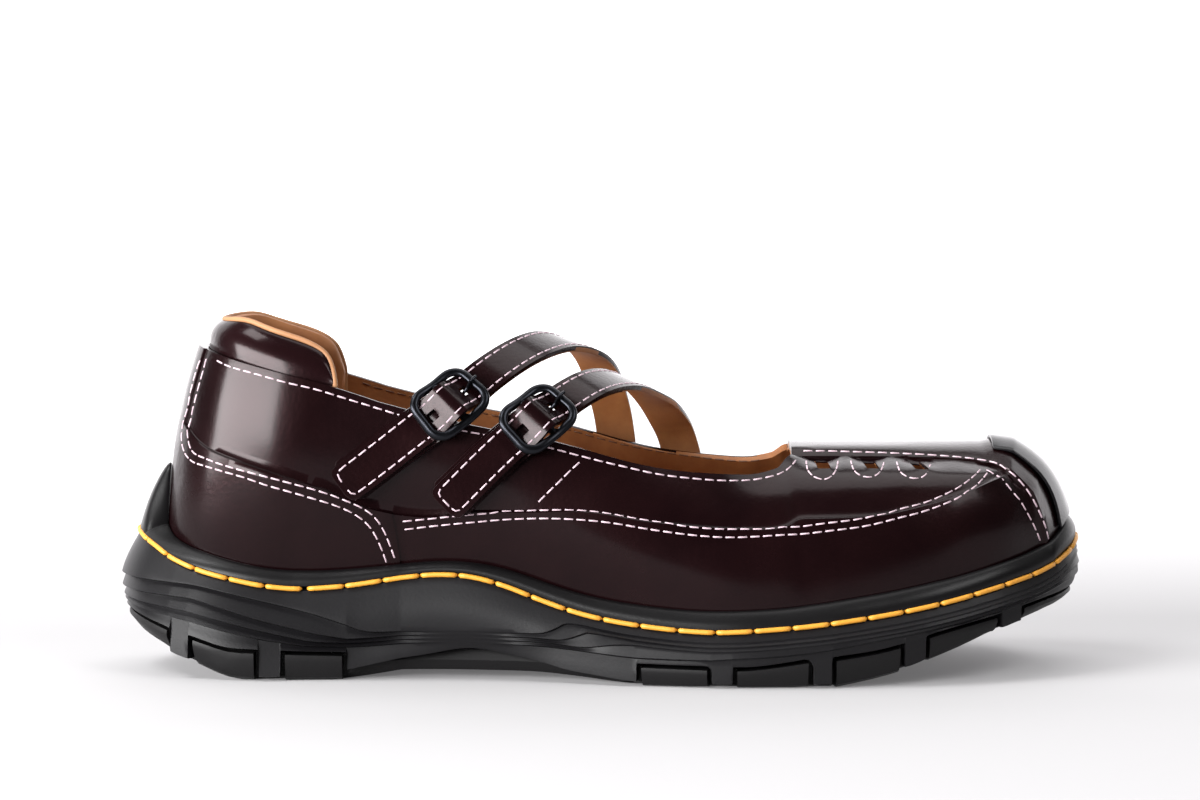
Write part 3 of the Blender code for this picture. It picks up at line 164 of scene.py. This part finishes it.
soft_light("overhead light", (0.0, 0.35, 1.5), (0, 0.10, 0.03), 1.5, 0.9, 12)
soft_light("left front light", (-0.98, -0.75, 0.29), (-0.08, 0, 0.06), 1.3, 0.40, 48)
soft_light("left top light", (-0.62, -0.25, 1.0), (-0.08, 0, 0.08), 0.45, 0.45, 8)
soft_light("right front light", (0.62, -0.50, 0.80), (0.08, 0, 0.05), 0.40, 0.40, 4)


# ---------------------------------------------------------------- leather upper
# The upper is chrome-tanned cowhide, dyed dark oxblood and polished, lasted over a form and
# cemented into the rubber cup, with a tan lining inside. Its panels overlap, and show as low
# steps; the polish gives soft broad reflections over a fine grain.
SMOOTH_ANGLE = math.radians(38)
HOLD_LIMIT = 0.0006
HOLD_SHARE = 0.8
SAME_POINT = 0.00001


def hold_shape(piece, rounds=3):
    """Move the cage outwards until the smoothed surface passes near its first points.

    No point moves further than HOLD_LIMIT, so that slender corners don't grow spikes.
    """
    wanted = [v.co.copy() for v in piece.data.vertices]
    for _ in range(rounds):
        graph = bpy.context.evaluated_depsgraph_get()
        smoothed = piece.evaluated_get(graph).data
        for k, spot in enumerate(wanted):
            cage = piece.data.vertices[k]
            shift = cage.co - spot + (spot - smoothed.vertices[k].co) * HOLD_SHARE
            cage.co = spot + shift * min(1.0, HOLD_LIMIT / max(shift.length, HOLD_LIMIT))
        piece.data.update()


def copy_node(name, node, levels, crease_angle, crease=0.75):
    """A smoothed copy of a CAD node: its triangles are merged, paired and subdivided."""
    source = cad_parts[node]
    piece = bpy.data.objects.new(name, source.data.copy())
    piece.matrix_world = source.matrix_world
    bpy.context.scene.collection.objects.link(piece)
    piece.data.materials.clear()
    choose(piece)
    bpy.ops.object.transform_apply(location=True, rotation=True, scale=True)
    bpy.ops.object.mode_set(mode="EDIT")
    bpy.ops.mesh.select_all(action="SELECT")
    bpy.ops.mesh.customdata_custom_splitnormals_clear()
    bpy.ops.mesh.remove_doubles(threshold=SAME_POINT)
    bpy.ops.mesh.tris_convert_to_quads(face_threshold=math.radians(60),
                                       shape_threshold=math.radians(70))
    bpy.ops.object.mode_set(mode="OBJECT")
    shape = bmesh.new()
    shape.from_mesh(piece.data)
    layer = shape.edges.layers.float.get("crease_edge")
    if layer is None:
        layer = shape.edges.layers.float.new("crease_edge")
    for edge in shape.edges:
        if len(edge.link_faces) == 2 and edge.calc_face_angle(0) > crease_angle:
            edge[layer] = crease
    shape.to_mesh(piece.data)
    shape.free()
    if levels:
        smooth = piece.modifiers.new("smooth", "SUBSURF")
        smooth.levels = levels
        smooth.render_levels = levels
        hold_shape(piece)
        choose(piece)
        bpy.ops.object.modifier_apply(modifier=smooth.name)
    choose(piece)
    bpy.ops.object.shade_smooth_by_angle(angle=SMOOTH_ANGLE)
    return piece


def polished_leather(name, light, dark, roughness=0.24, grain=1.0):
    """Polished dyed cowhide: mottled dye, a wax coat and a fine pebbled grain."""
    made = bpy.data.materials.new(name)
    made.use_nodes = True
    tree = made.node_tree
    shader = tree.nodes["Principled BSDF"]
    place = add_node(tree, "ShaderNodeTexCoord", {}, {}).outputs["Object"]
    mottle = add_node(tree, "ShaderNodeTexNoise", {}, {
        "Vector": place, "Scale": 38.0, "Detail": 4.0, "Roughness": 0.6})
    ramp = add_node(tree, "ShaderNodeValToRGB", {}, {"Fac": mottle.outputs["Fac"]})
    ramp.color_ramp.elements[0].position = 0.30
    ramp.color_ramp.elements[0].color = linear(dark)
    ramp.color_ramp.elements[1].position = 0.72
    ramp.color_ramp.elements[1].color = linear(light)
    tree.links.new(ramp.outputs["Color"], shader.inputs["Base Color"])
    rub = add_node(tree, "ShaderNodeMapRange", {}, {
        "Value": mottle.outputs["Fac"], "From Min": 0.3, "From Max": 0.7,
        "To Min": roughness - 0.03, "To Max": roughness + 0.05})
    tree.links.new(rub.outputs["Result"], shader.inputs["Roughness"])
    shader.inputs["IOR"].default_value = 1.5
    shader.inputs["Specular IOR Level"].default_value = 0.12
    shader.inputs["Specular Tint"].default_value = linear("#b07a80")
    shader.inputs["Coat Weight"].default_value = 0.24
    shader.inputs["Coat Roughness"].default_value = 0.15
    # Pores about 1.2 mm apart, drawn coarser than real ones so that they show
    pores = add_node(tree, "ShaderNodeTexVoronoi", {"feature": "SMOOTH_F1"}, {
        "Vector": place, "Scale": 850.0, "Smoothness": 0.7})
    ripple = add_node(tree, "ShaderNodeTexNoise", {}, {
        "Vector": place, "Scale": 420.0, "Detail": 3.0, "Roughness": 0.55})
    mixed = add_node(tree, "ShaderNodeMath", {"operation": "ADD"}, {})
    tree.links.new(pores.outputs["Distance"], mixed.inputs[0])
    tree.links.new(ripple.outputs["Fac"], mixed.inputs[1])
    bump = add_node(tree, "ShaderNodeBump", {}, {
        "Height": mixed.outputs["Value"], "Strength": 0.10 * grain, "Distance": 0.0004})
    tree.links.new(bump.outputs["Normal"], shader.inputs["Normal"])
    return made


def lining_leather(name, light="#a0683a", dark="#7f4c26"):
    """Unfinished vegetable-tanned calf: warm tan, nearly matt, with faint fibres."""
    made = bpy.data.materials.new(name)
    made.use_nodes = True
    tree = made.node_tree
    shader = tree.nodes["Principled BSDF"]
    place = add_node(tree, "ShaderNodeTexCoord", {}, {}).outputs["Object"]
    mottle = add_node(tree, "ShaderNodeTexNoise", {}, {
        "Vector": place, "Scale": 60.0, "Detail": 5.0, "Roughness": 0.65})
    ramp = add_node(tree, "ShaderNodeValToRGB", {}, {"Fac": mottle.outputs["Fac"]})
    ramp.color_ramp.elements[0].position = 0.30
    ramp.color_ramp.elements[0].color = linear(dark)
    ramp.color_ramp.elements[1].position = 0.70
    ramp.color_ramp.elements[1].color = linear(light)
    tree.links.new(ramp.outputs["Color"], shader.inputs["Base Color"])
    shader.inputs["Roughness"].default_value = 0.62
    fibres = add_node(tree, "ShaderNodeTexNoise", {}, {
        "Vector": place, "Scale": 900.0, "Detail": 3.0, "Roughness": 0.6})
    bump = add_node(tree, "ShaderNodeBump", {}, {
        "Height": fibres.outputs["Fac"], "Strength": 0.12, "Distance": 0.0003})
    tree.links.new(bump.outputs["Normal"], shader.inputs["Normal"])
    return made


oxblood = polished_leather("polished oxblood cowhide", "#120607", "#0b0304")
tan_lining = lining_leather("tan calf lining")
SPINE_BACK = -0.095
SPINE_FRONT = 0.112
SPINE_SIDE = 0.0015
SPINE_HEIGHT = 0.042
COVERED_FROM = 0.095
LEATHER_LEAST = 0.0012


def surface_of(piece):
    """A search tree over a finished piece's faces."""
    shape = bmesh.new()
    shape.from_mesh(piece.data)
    tree = BVHTree.FromBMesh(shape)
    shape.free()
    return tree


def from_spine(place, height=SPINE_HEIGHT):
    """The direction straight out from a line along the middle of the foot to a place."""
    x = min(max(place.x, SPINE_BACK), SPINE_FRONT)
    return (place - Vector((x, SPINE_SIDE, height))).normalized()


def paint_inside(piece, spine_height=SPINE_HEIGHT, margin=0.0):
    """Give the faces that look towards the shoe's inside the second material.

    Ahead of the slots they must also have a leather's thickness over them.
    """
    skin = surface_of(piece)
    for face in piece.data.polygons:
        way = from_spine(face.center, spine_height)
        inside = way.dot(face.normal) < margin
        if inside and face.center.x > COVERED_FROM:
            cover = skin.ray_cast(face.center + way * LEATHER_LEAST / 4, way)[3]
            inside = cover is not None and cover > LEATHER_LEAST
        face.material_index = 1 if inside else 0


upper = copy_node(
    "leather_upper", "upper", levels=2, crease_angle=math.radians(24), crease=0.8)
upper.data.materials.append(oxblood)
upper.data.materials.append(tan_lining)
paint_inside(upper)
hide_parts("upper")
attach(upper, "root")


# ---------------------------------------------------------------- stitching of the upper
# Bonded polyester thread, pinkish white, lock-stitched at seven to the inch. Each stitch is a
# short raised dash whose ends dive into the leather; one is modelled and laid along the rows.
STITCH_PITCH = 0.0035
STITCH_LENGTH = 0.0028
THREAD_RADIUS = 0.00024
DIVE = 0.5
TRACE_STEP = 0.00025
CLEAR_OF_SHOE = 0.03
STEPS_BACK = 3


def model_stitch(name, radius, length, steps, sides=6):
    """One stitch along X: a round thread whose ends narrow and dive into the leather."""
    deselect()
    bpy.ops.mesh.primitive_circle_add(vertices=sides, radius=radius * DIVE, fill_type="NGON",
                                      location=(-length / 2, 0, -radius),
                                      rotation=(0, math.radians(90), 0))
    made = bpy.context.object
    made.name = name
    bpy.ops.object.transform_apply(location=True, rotation=True, scale=True)
    bpy.ops.object.mode_set(mode="EDIT")
    bpy.ops.mesh.select_all(action="SELECT")
    rise = {"value": (radius, 0, radius)}
    bpy.ops.mesh.extrude_region_move(TRANSFORM_OT_translate=rise)
    widen = (1, 1 / DIVE, 1 / DIVE)
    bpy.ops.transform.resize(value=widen, center_override=(radius - length / 2, 0, 0))
    run = {"value": ((length - 2 * radius) / steps, 0, 0)}
    for _ in range(steps):
        bpy.ops.mesh.extrude_region_move(TRANSFORM_OT_translate=run)
    narrow = (1, DIVE, DIVE)
    bpy.ops.mesh.extrude_region_move(TRANSFORM_OT_translate={"value": (radius, 0, -radius)})
    bpy.ops.transform.resize(value=narrow, center_override=(length / 2, 0, -radius))
    bpy.ops.mesh.select_all(action="SELECT")
    bpy.ops.mesh.normals_make_consistent(inside=False)
    bpy.ops.object.mode_set(mode="OBJECT")
    return made


def curve_through(points, closed=False):
    """Places about a quarter of a millimetre apart on a smooth curve through the points."""
    count = len(points)
    made = []
    for k in range(count if closed else count - 1):
        ends = [k - 1, k, k + 1, k + 2]
        ring = [points[i % count] if closed else points[min(max(i, 0), count - 1)] for i in ends]
        a, b, c, d = ring
        steps = max(1, round((c - b).length / TRACE_STEP))
        for i in range(steps):
            u = i / steps
            made.append(0.5 * (2 * b + (c - a) * u + (2 * a - 5 * b + 4 * c - d) * u ** 2
                               + (3 * b - a - 3 * c + d) * u ** 3))
    made.append(points[0].copy() if closed else points[-1].copy())
    return made


def average(rows, reach=5):
    """A run of vectors, each averaged with its neighbours."""
    made = []
    for k in range(len(rows)):
        near = rows[max(0, k - reach):k + reach + 1]
        made.append(sum(near, Vector()) / len(near))
    return made


def settle(places, tree):
    """The places moved onto a surface, with the surface's normals, both evened out."""
    spots, normals = [], []
    for place in places:
        spot, normal, _, _ = tree.find_nearest(place)
        spots.append(spot)
        normals.append(normal)
    return average(spots), [n.normalized() for n in average(normals)]


def sew(name, model, rows, pitch, length, material, start=0.0):
    """Lay copies of a stitch along rows of places and normals, and join them to one piece."""
    copies = []
    for places, normals in rows:
        travelled = [0.0]
        for a, b in zip(places, places[1:]):
            travelled.append(travelled[-1] + (b - a).length)
        count = max(round((travelled[-1] - start) / pitch), 1)
        even = (travelled[-1] - start) / count
        step = 1
        for number in range(count):
            at = start + number * even
            stitch = bpy.data.objects.new(name, model.data.copy())
            bpy.context.scene.collection.objects.link(stitch)
            for corner in sorted(stitch.data.vertices, key=lambda v: v.co.x):
                wanted = at + length / 2 + corner.co.x
                while step < len(travelled) - 1 and travelled[step] < wanted:
                    step += 1
                along = (places[step] - places[step - 1]).normalized()
                short = wanted - travelled[step]
                up = normals[step]
                side = up.cross(along).normalized()
                corner.co = places[step] + along * short + side * corner.co.y + up * corner.co.z
            copies.append(stitch)
            step = max(1, step - STEPS_BACK)
    deselect()
    for stitch in copies:
        stitch.select_set(True)
    bpy.context.view_layer.objects.active = copies[0]
    bpy.ops.object.join()
    made = bpy.context.object
    made.name = name
    bpy.ops.object.shade_smooth_by_angle(angle=math.radians(60))
    made.data.materials.clear()
    made.data.materials.append(material)
    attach(made, "root")


def spun_thread(name, colour, roughness=0.55):
    """Bonded polyester sewing thread: a soft sheen, even in colour."""
    made = bpy.data.materials.new(name)
    made.use_nodes = True
    shader = made.node_tree.nodes["Principled BSDF"]
    shader.inputs["Base Color"].default_value = linear(colour)
    shader.inputs["Roughness"].default_value = roughness
    shader.inputs["IOR"].default_value = 1.5
    return made


# Rows on the outer side, in millimetres: along the shoe, across it, and height
TOP_LINE_ROW = (
    (-109, -16, 89.0), (-104.3, -20.1, 87.3), (-96.2, -24.7, 85.5), (-88.1, -26.6, 83.4),
    (-80, -27.3, 81.6), (-72, -27.8, 79.2), (-64, -28.4, 76.8), (-56, -29.0, 74.4),
    (-48, -29.6, 72.3), (-40, -30.2, 70.5), (-32, -30.7, 69.0), (-24, -31.2, 67.4),
    (-16, -31.7, 66.0), (-8, -31.9, 63.9), (0, -31.9, 61.8), (8, -31.6, 59.9),
    (16, -31.1, 58.1), (24, -30.3, 57.0), (32, -29.1, 56.2), (40, -27.2, 56.0),
    (46, -25.4, 56.5), (50, -24.1, 57.4), (53.5, -20.8, 59.2), (55.4, -16.4, 60.9))
COUNTER_OUTER_ROW = (
    (-113.6, -10.2, 88.8), (-115.5, -10.2, 82.9), (-117.4, -10.5, 74.6), (-119.1, -9.9, 68.6),
    (-118.6, -12.4, 63.6), (-115.6, -17.1, 60.4), (-111, -21.9, 59.3), (-105.5, -25.4, 58.1),
    (-100.1, -27.6, 56.8), (-93.8, -28.9, 54.8), (-87.6, -29.7, 53.1), (-80.4, -29.9, 51.0),
    (-74.8, -30.0, 49.3), (-69.7, -30.0, 47.1), (-65.8, -30.0, 44.3), (-63.3, -29.8, 40.8),
    (-61.4, -29.3, 36.5), (-59.8, -28.5, 31.7))
COUNTER_INNER_ROW = (
    (-111.7, -11.5, 89.4), (-112.9, -12.1, 84.7), (-115.5, -12.6, 78.3), (-117.1, -12.7, 72.0),
    (-117.1, -14.2, 66.9), (-115.3, -17.1, 63.0), (-111, -21.8, 61.4), (-105.5, -25.2, 59.9),
    (-100.1, -27.6, 58.6), (-94.8, -28.7, 57.4), (-88.5, -29.7, 55.8), (-81.3, -29.9, 53.9),
    (-74, -30.1, 51.6), (-68, -30.2, 49.1), (-63.8, -30.3, 46.3), (-61.1, -30.1, 42.6),
    (-59.2, -29.6, 38.0), (-57.5, -28.8, 33.1))
GUARD_UPPER_ROW = (
    (-56, -30.1, 44.6), (-47.9, -30.7, 45.5), (-36.4, -32.2, 46.8), (-24, -33.3, 47.9),
    (-11.5, -34.8, 48.3), (1.4, -36.3, 47.5), (14.2, -37.3, 45.5), (27, -38.4, 43.9),
    (37.5, -38.4, 43.5), (52.5, -37.8, 44.0), (60.9, -37.4, 44.8), (73.2, -36.2, 46.3),
    (83.5, -33.5, 48.8), (91.2, -31.0, 50.3), (99.6, -27.0, 53.5), (105, -22.2, 56.7),
    (107.6, -17.0, 58.6))
GUARD_LOWER_ROW = (
    (-55.5, -29.8, 42.3), (-47.9, -30.4, 43.3), (-36.4, -31.9, 44.6), (-24, -33.9, 45.8),
    (-11.4, -35.7, 46.1), (1.4, -37.2, 45.3), (14.2, -38.2, 43.3), (27, -38.9, 41.7),
    (37.5, -39.0, 41.2), (52.4, -38.4, 41.9), (60.9, -38.1, 42.6), (73.2, -37.0, 44.1),
    (83.4, -35.0, 46.3), (91, -33.0, 48.1), (99.9, -29.9, 51.3), (105.9, -24.6, 54.7),
    (109.5, -18.6, 57.7))
QUARTER_SEAM_ROW = (
    (-5.6, -32.2, 61.9), (-8.7, -33.2, 59.2), (-11.5, -33.6, 56.4), (-15.1, -34.0, 53.0),
    (-18.2, -33.9, 49.8))
PLUG_UPPER_ROW = (
    (57, -11.0, 62.6), (70.7, -11.0, 62.3), (93.4, -11.4, 61.5), (108.9, -12.8, 60.2),
    (115, -17.0, 57.8), (120.2, -18.6, 52.4), (124.4, -17.3, 45.1), (127.4, -14.6, 36.8))
PLUG_LOWER_ROW = (
    (108.5, -17.6, 58.2), (113.3, -20.8, 55.9), (118.3, -21.8, 50.5), (122.6, -19.7, 43.3),
    (125.2, -16.5, 36.6))
SLOT_ROWS = (
    ((58, -16, 60.3), (58.2, -22.8, 58.4), (60.1, -25.7, 56.5), (62.8, -26.7, 56.0),
     (65.1, -25.1, 57.0), (66.5, -21.3, 59.1), (67.1, -15.5, 60.4)),
    ((70.6, -16, 60.2), (71.2, -23.1, 58.2), (73.3, -25.3, 56.7), (75.8, -25.6, 56.5),
     (78.1, -24, 57.4), (79.6, -19.4, 58.9), (80.1, -15.5, 60.1)),
    ((83.6, -16, 59.8), (84.1, -22.9, 57.9), (86.2, -25.1, 56.4), (89, -25.3, 56.1),
     (91.4, -23.5, 57.1), (92.9, -17.7, 58.5), (93.4, -15.5, 59.6)))

white_thread = spun_thread("pinkish white sewing thread", "#bda6af")
upper_stitch = model_stitch("upper_stitch_model", THREAD_RADIUS, STITCH_LENGTH, 2)
upper_surface = surface_of(upper)


def rows_on(tree, tables, outside=True):
    """Rows of stitches on both sides of the shoe from tables of the outer side.

    The inner side is fuller, so there a place is first brought in from outside the shoe.
    """
    made = []
    for side in (1, -1):
        for table in tables:
            places = curve_through([Vector((x, side * y, z)) / 1000 for x, y, z in table])
            if outside and side < 0:
                for k, place in enumerate(places):
                    way = from_spine(place)
                    places[k] = tree.ray_cast(place + way * CLEAR_OF_SHOE, -way)[0] or place
            made.append(settle(places, tree))
    return made


# The lining's own row, just under its edge on the inside, in brown thread
LINING_ROW = (
    (-70, -24.9, 79.0), (-64, -25.8, 77.0), (-56, -26.4, 74.9), (-48, -27.0, 72.8),
    (-40, -27.5, 71.0), (-32, -28.0, 69.2), (-24, -28.5, 67.7), (-16, -28.9, 66.2),
    (-8, -28.9, 64.2), (0, -28.8, 61.8), (8, -28.4, 59.7), (16, -27.6, 58.2),
    (24, -26.6, 57.0), (32, -25.4, 56.1), (40, -23.7, 55.8), (47, -21.9, 56.4))
brown_thread = spun_thread("brown lining thread", "#5c3820")
lining_rows = rows_on(upper_surface, (LINING_ROW,), outside=False)
sew("lining_stitches", upper_stitch, lining_rows, STITCH_PITCH, STITCH_LENGTH, brown_thread)

for row_name, tables in (
        ("top_line_stitches", (TOP_LINE_ROW, QUARTER_SEAM_ROW)),
        ("counter_stitches", (COUNTER_OUTER_ROW, COUNTER_INNER_ROW)),
        ("mudguard_stitches", (GUARD_UPPER_ROW, GUARD_LOWER_ROW)),
        ("plug_stitches", (PLUG_UPPER_ROW, PLUG_LOWER_ROW, *SLOT_ROWS))):
    sew(row_name, upper_stitch, rows_on(upper_surface, tables), STITCH_PITCH, STITCH_LENGTH,
        white_thread)


# ---------------------------------------------------------------- rubber sole
# The sole is injection-moulded black rubber: a cup midsole with raised ribs down its sides
# and a separate moulded tread. The mould leaves it matt; the rim and the toe guard are glossier.
def moulded_rubber(name, colour, roughness):
    """Moulded black rubber: even, nearly matt, with the mould's fine spark texture."""
    made = bpy.data.materials.new(name)
    made.use_nodes = True
    tree = made.node_tree
    shader = tree.nodes["Principled BSDF"]
    place = add_node(tree, "ShaderNodeTexCoord", {}, {}).outputs["Object"]
    shader.inputs["Base Color"].default_value = linear(colour)
    shader.inputs["Roughness"].default_value = roughness
    shader.inputs["IOR"].default_value = 1.52
    shader.inputs["Specular IOR Level"].default_value = 0.2
    spark = add_node(tree, "ShaderNodeTexNoise", {}, {
        "Vector": place, "Scale": 1100.0, "Detail": 2.0, "Roughness": 0.6})
    bump = add_node(tree, "ShaderNodeBump", {}, {
        "Height": spark.outputs["Fac"], "Strength": 0.14, "Distance": 0.0002})
    tree.links.new(bump.outputs["Normal"], shader.inputs["Normal"])
    return made


midsole = copy_node(
    "rubber_midsole", "midsole", levels=2, crease_angle=math.radians(24), crease=0.7)
midsole.data.materials.append(moulded_rubber("moulded midsole rubber", "#0d0c0e", roughness=0.44))
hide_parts("midsole")
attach(midsole, "root")

outsole = copy_node(
    "rubber_tread", "outsole", levels=1, crease_angle=math.radians(24), crease=0.9)
outsole.data.materials.append(moulded_rubber("moulded tread rubber", "#0c0b0c", roughness=0.5))
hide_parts("outsole")
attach(outsole, "root")

rim = copy_node(
    "rubber_rim", "welt", levels=2, crease_angle=math.radians(60), crease=0.6)
rim.data.materials.append(moulded_rubber("moulded rim rubber", "#0b0a0b", roughness=0.36))
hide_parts("welt")
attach(rim, "root")

guard = copy_node(
    "rubber_toe_guard", "toe_guard", levels=2, crease_angle=math.radians(50), crease=0.5)
guard.data.materials.append(moulded_rubber("glossy guard rubber", "#161517", roughness=0.2))
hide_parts("toe_guard")
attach(guard, "root")


# ---------------------------------------------------------------- welt thread
# Thick waxed polyester thread, yellow, laid in the groove between rim and midsole and sewn
# down through the sole: long plump stitches with hardly a gap, all the way round.
WELT_PITCH = 0.0107
WELT_LENGTH = 0.0104
WELT_RADIUS = 0.0007
WELT_OUT = 0.0002
WELT_DOWN = 0.0007
WELT_UNDERSIDE = -0.5


def ring_round(node, wanted):
    """The longest ring of edges round those faces of a CAD node that pass a test."""
    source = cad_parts[node]
    shape = bmesh.new()
    shape.from_mesh(source.data)
    shape.transform(source.matrix_world)
    bmesh.ops.remove_doubles(shape, verts=shape.verts, dist=SAME_POINT)
    chosen = {face for face in shape.faces if wanted(face.calc_center_median(), face.normal)}
    joined = {}
    for edge in shape.edges:
        if sum(face in chosen for face in edge.link_faces) == 1:
            for a, b in (edge.verts, reversed(edge.verts)):
                joined.setdefault(a, []).append(b)
    best = []
    while joined:
        ring = [next(iter(joined))]
        while ring:
            onward = [v for v in joined.pop(ring[-1], []) if v in joined]
            if not onward:
                break
            ring.append(onward[0])
        if len(ring) > 2:
            spots = [v.co.copy() for v in ring]
            if sum((a - b).length for a, b in zip(spots, spots[1:])) > \
                    sum((a - b).length for a, b in zip(best, best[1:])):
                best = spots
    shape.free()
    return best


groove = ring_round("welt", lambda centre, normal: normal.z < WELT_UNDERSIDE)
middle = sum(groove, Vector()) / len(groove)
thread_line = []
for before, spot, after in zip(groove[-1:] + groove[:-1], groove, groove[1:] + groove[:1]):
    along = (after - before).normalized()
    outward = Vector((along.y, -along.x, 0)).normalized()
    if outward.dot(spot - middle) < 0:
        outward = -outward
    thread_line.append(spot + outward * WELT_OUT - Vector((0, 0, WELT_DOWN)))
yellow_thread = spun_thread("waxed yellow welt thread", "#c98a25", 0.5)
welt_stitch = model_stitch("welt_stitch_model", WELT_RADIUS, WELT_LENGTH, 6, 8)
thread_path = curve_through(thread_line, closed=True)
thread_out = []
for k, place in enumerate(thread_path):
    along = thread_path[min(k + 1, len(thread_path) - 1)] - thread_path[max(k - 1, 0)]
    outward = Vector((along.y, -along.x, 0)).normalized()
    thread_out.append(outward if outward.dot(place - middle) > 0 else -outward)
sew("welt_stitches", welt_stitch, [(average(thread_path), thread_out)], WELT_PITCH,
    WELT_LENGTH, yellow_thread)


# ---------------------------------------------------------------- insole and heel pad
# The footbed is tan leather over foam. The collar pad is foam wrapped in the upper's leather
# on its outer side and in the lining's tan calf on its inner side and over its top.
insole = copy_node(
    "tan_insole", "insole", levels=1, crease_angle=math.radians(50), crease=0.5)
insole.data.materials.append(tan_lining)
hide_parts("insole")
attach(insole, "root")

pad = copy_node(
    "heel_pad_leather", "heel_pad", levels=2, crease_angle=math.radians(70), crease=0.4)
pad_leather = polished_leather("polished pad cowhide", "#16080a", "#0f0506", roughness=0.22)
pad.data.materials.append(pad_leather)
pad.data.materials.append(tan_lining)
PAD_FACING = 0.12
PIPING_RADIUS = 0.0008
PIPING_REACH = 12
PIPING_SKIP = 4


def pad_outside(centre, normal):
    """Whether a face of the pad looks away from the foot."""
    reach = centre - Vector((max(centre.x, SPINE_BACK), 0, centre.z))
    return normal.dot(reach.normalized()) >= PAD_FACING


for face in pad.data.polygons:
    face.material_index = 0 if pad_outside(face.center, face.normal) else 1
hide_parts("heel_pad")
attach(pad, "root")

piping_curve = bpy.data.curves.new("heel_pad_piping", "CURVE")
piping_curve.dimensions = "3D"
piping_curve.bevel_depth = PIPING_RADIUS
piping_curve.bevel_resolution = 2
piping_path = curve_through(ring_round("heel_pad", pad_outside), closed=True)
piping_line = average(piping_path, PIPING_REACH)[::PIPING_SKIP]
spline = piping_curve.splines.new("POLY")
spline.points.add(len(piping_line) - 1)
spline.use_cyclic_u = True
for point, place in zip(spline.points, piping_line):
    point.co = (*place, 1)
piping = bpy.data.objects.new("heel_pad_piping", piping_curve)
bpy.context.scene.collection.objects.link(piping)
choose(piping)
bpy.ops.object.convert(target="MESH")
piping = bpy.context.object
piping.data.materials.append(lining_leather("tan calf piping", "#a5764e", "#8a5d3a"))
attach(piping, "root")


# ---------------------------------------------------------------- straps and buckles
# Each strap is the upper's leather with a tan lining. An underlay below its tail holds a cast
# buckle with a gunmetal finish.
strap_leather = polished_leather("polished strap cowhide", "#130607", "#0b0304", roughness=0.26,
                                 grain=1.2)
gunmetal = bpy.data.materials.new("gunmetal plated zinc")
gunmetal.use_nodes = True
gunmetal_shader = gunmetal.node_tree.nodes["Principled BSDF"]
gunmetal_shader.inputs["Base Color"].default_value = linear("#242529")
gunmetal_shader.inputs["Metallic"].default_value = 1.0
gunmetal_shader.inputs["Roughness"].default_value = 0.3

STRAP_SPINE_HEIGHT = 0.06
STRAP_MARGIN = -0.3
straps = {}
for end in ("rear", "front"):
    strap = copy_node(
        f"strap_{end}_leather", f"strap_{end}", levels=2, crease_angle=math.radians(40), crease=0.75)
    strap.data.materials.append(strap_leather)
    strap.data.materials.append(tan_lining)
    paint_inside(strap, STRAP_SPINE_HEIGHT, STRAP_MARGIN)
    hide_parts(f"strap_{end}")
    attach(strap, "root")
    straps[f"strap_{end}"] = strap
    underlay = copy_node(
        f"underlay_{end}", f"chape_{end}", levels=2, crease_angle=math.radians(40), crease=0.75)
    underlay.data.materials.append(strap_leather)
    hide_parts(f"chape_{end}")
    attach(underlay, "root")
    for part, levels in (("buckle", 2), ("prong", 1)):
        metal = copy_node(
            f"{part}_{end}_metal", f"{part}_{end}", levels=levels,
            crease_angle=math.radians(60), crease=0.3)
        metal.data.materials.append(gunmetal)
        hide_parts(f"{part}_{end}")
        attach(metal, "root")


# ---------------------------------------------------------------- stitching of the straps
# The straps' leather and lining are sewn together close to the edge with the upper's thread,
# along both long edges and round the tails.
STRAP_INSET = 0.0015
STRAP_FACING = 0.45
STRAP_AHEAD = 4


def inset_row(node, tree):
    """A row just inside the outline of a strap's outer face, settled on its surface."""
    def outer(centre, normal):
        return from_spine(centre).dot(normal) > STRAP_FACING
    ring = curve_through(ring_round(node, outer), closed=True)
    places, _ = settle(ring, tree)
    best, best_reach = None, 0
    for shift in (STRAP_INSET, -STRAP_INSET):
        moved = []
        for k, place in enumerate(places):
            along = places[(k + STRAP_AHEAD) % len(places)] - places[k - STRAP_AHEAD]
            moved.append(place + from_spine(place).cross(along).normalized() * shift)
        row = settle(moved, tree)
        reach = sum((a - b).length for a, b in zip(places, row[0]))
        if reach > best_reach:
            best, best_reach = row, reach
    return best


for name, leather in straps.items():
    row = inset_row(name, surface_of(leather))
    sew(f"{name}_stitches", upper_stitch, [row], STITCH_PITCH, STITCH_LENGTH, white_thread)

for model in (upper_stitch, welt_stitch):
    bpy.data.objects.remove(model)
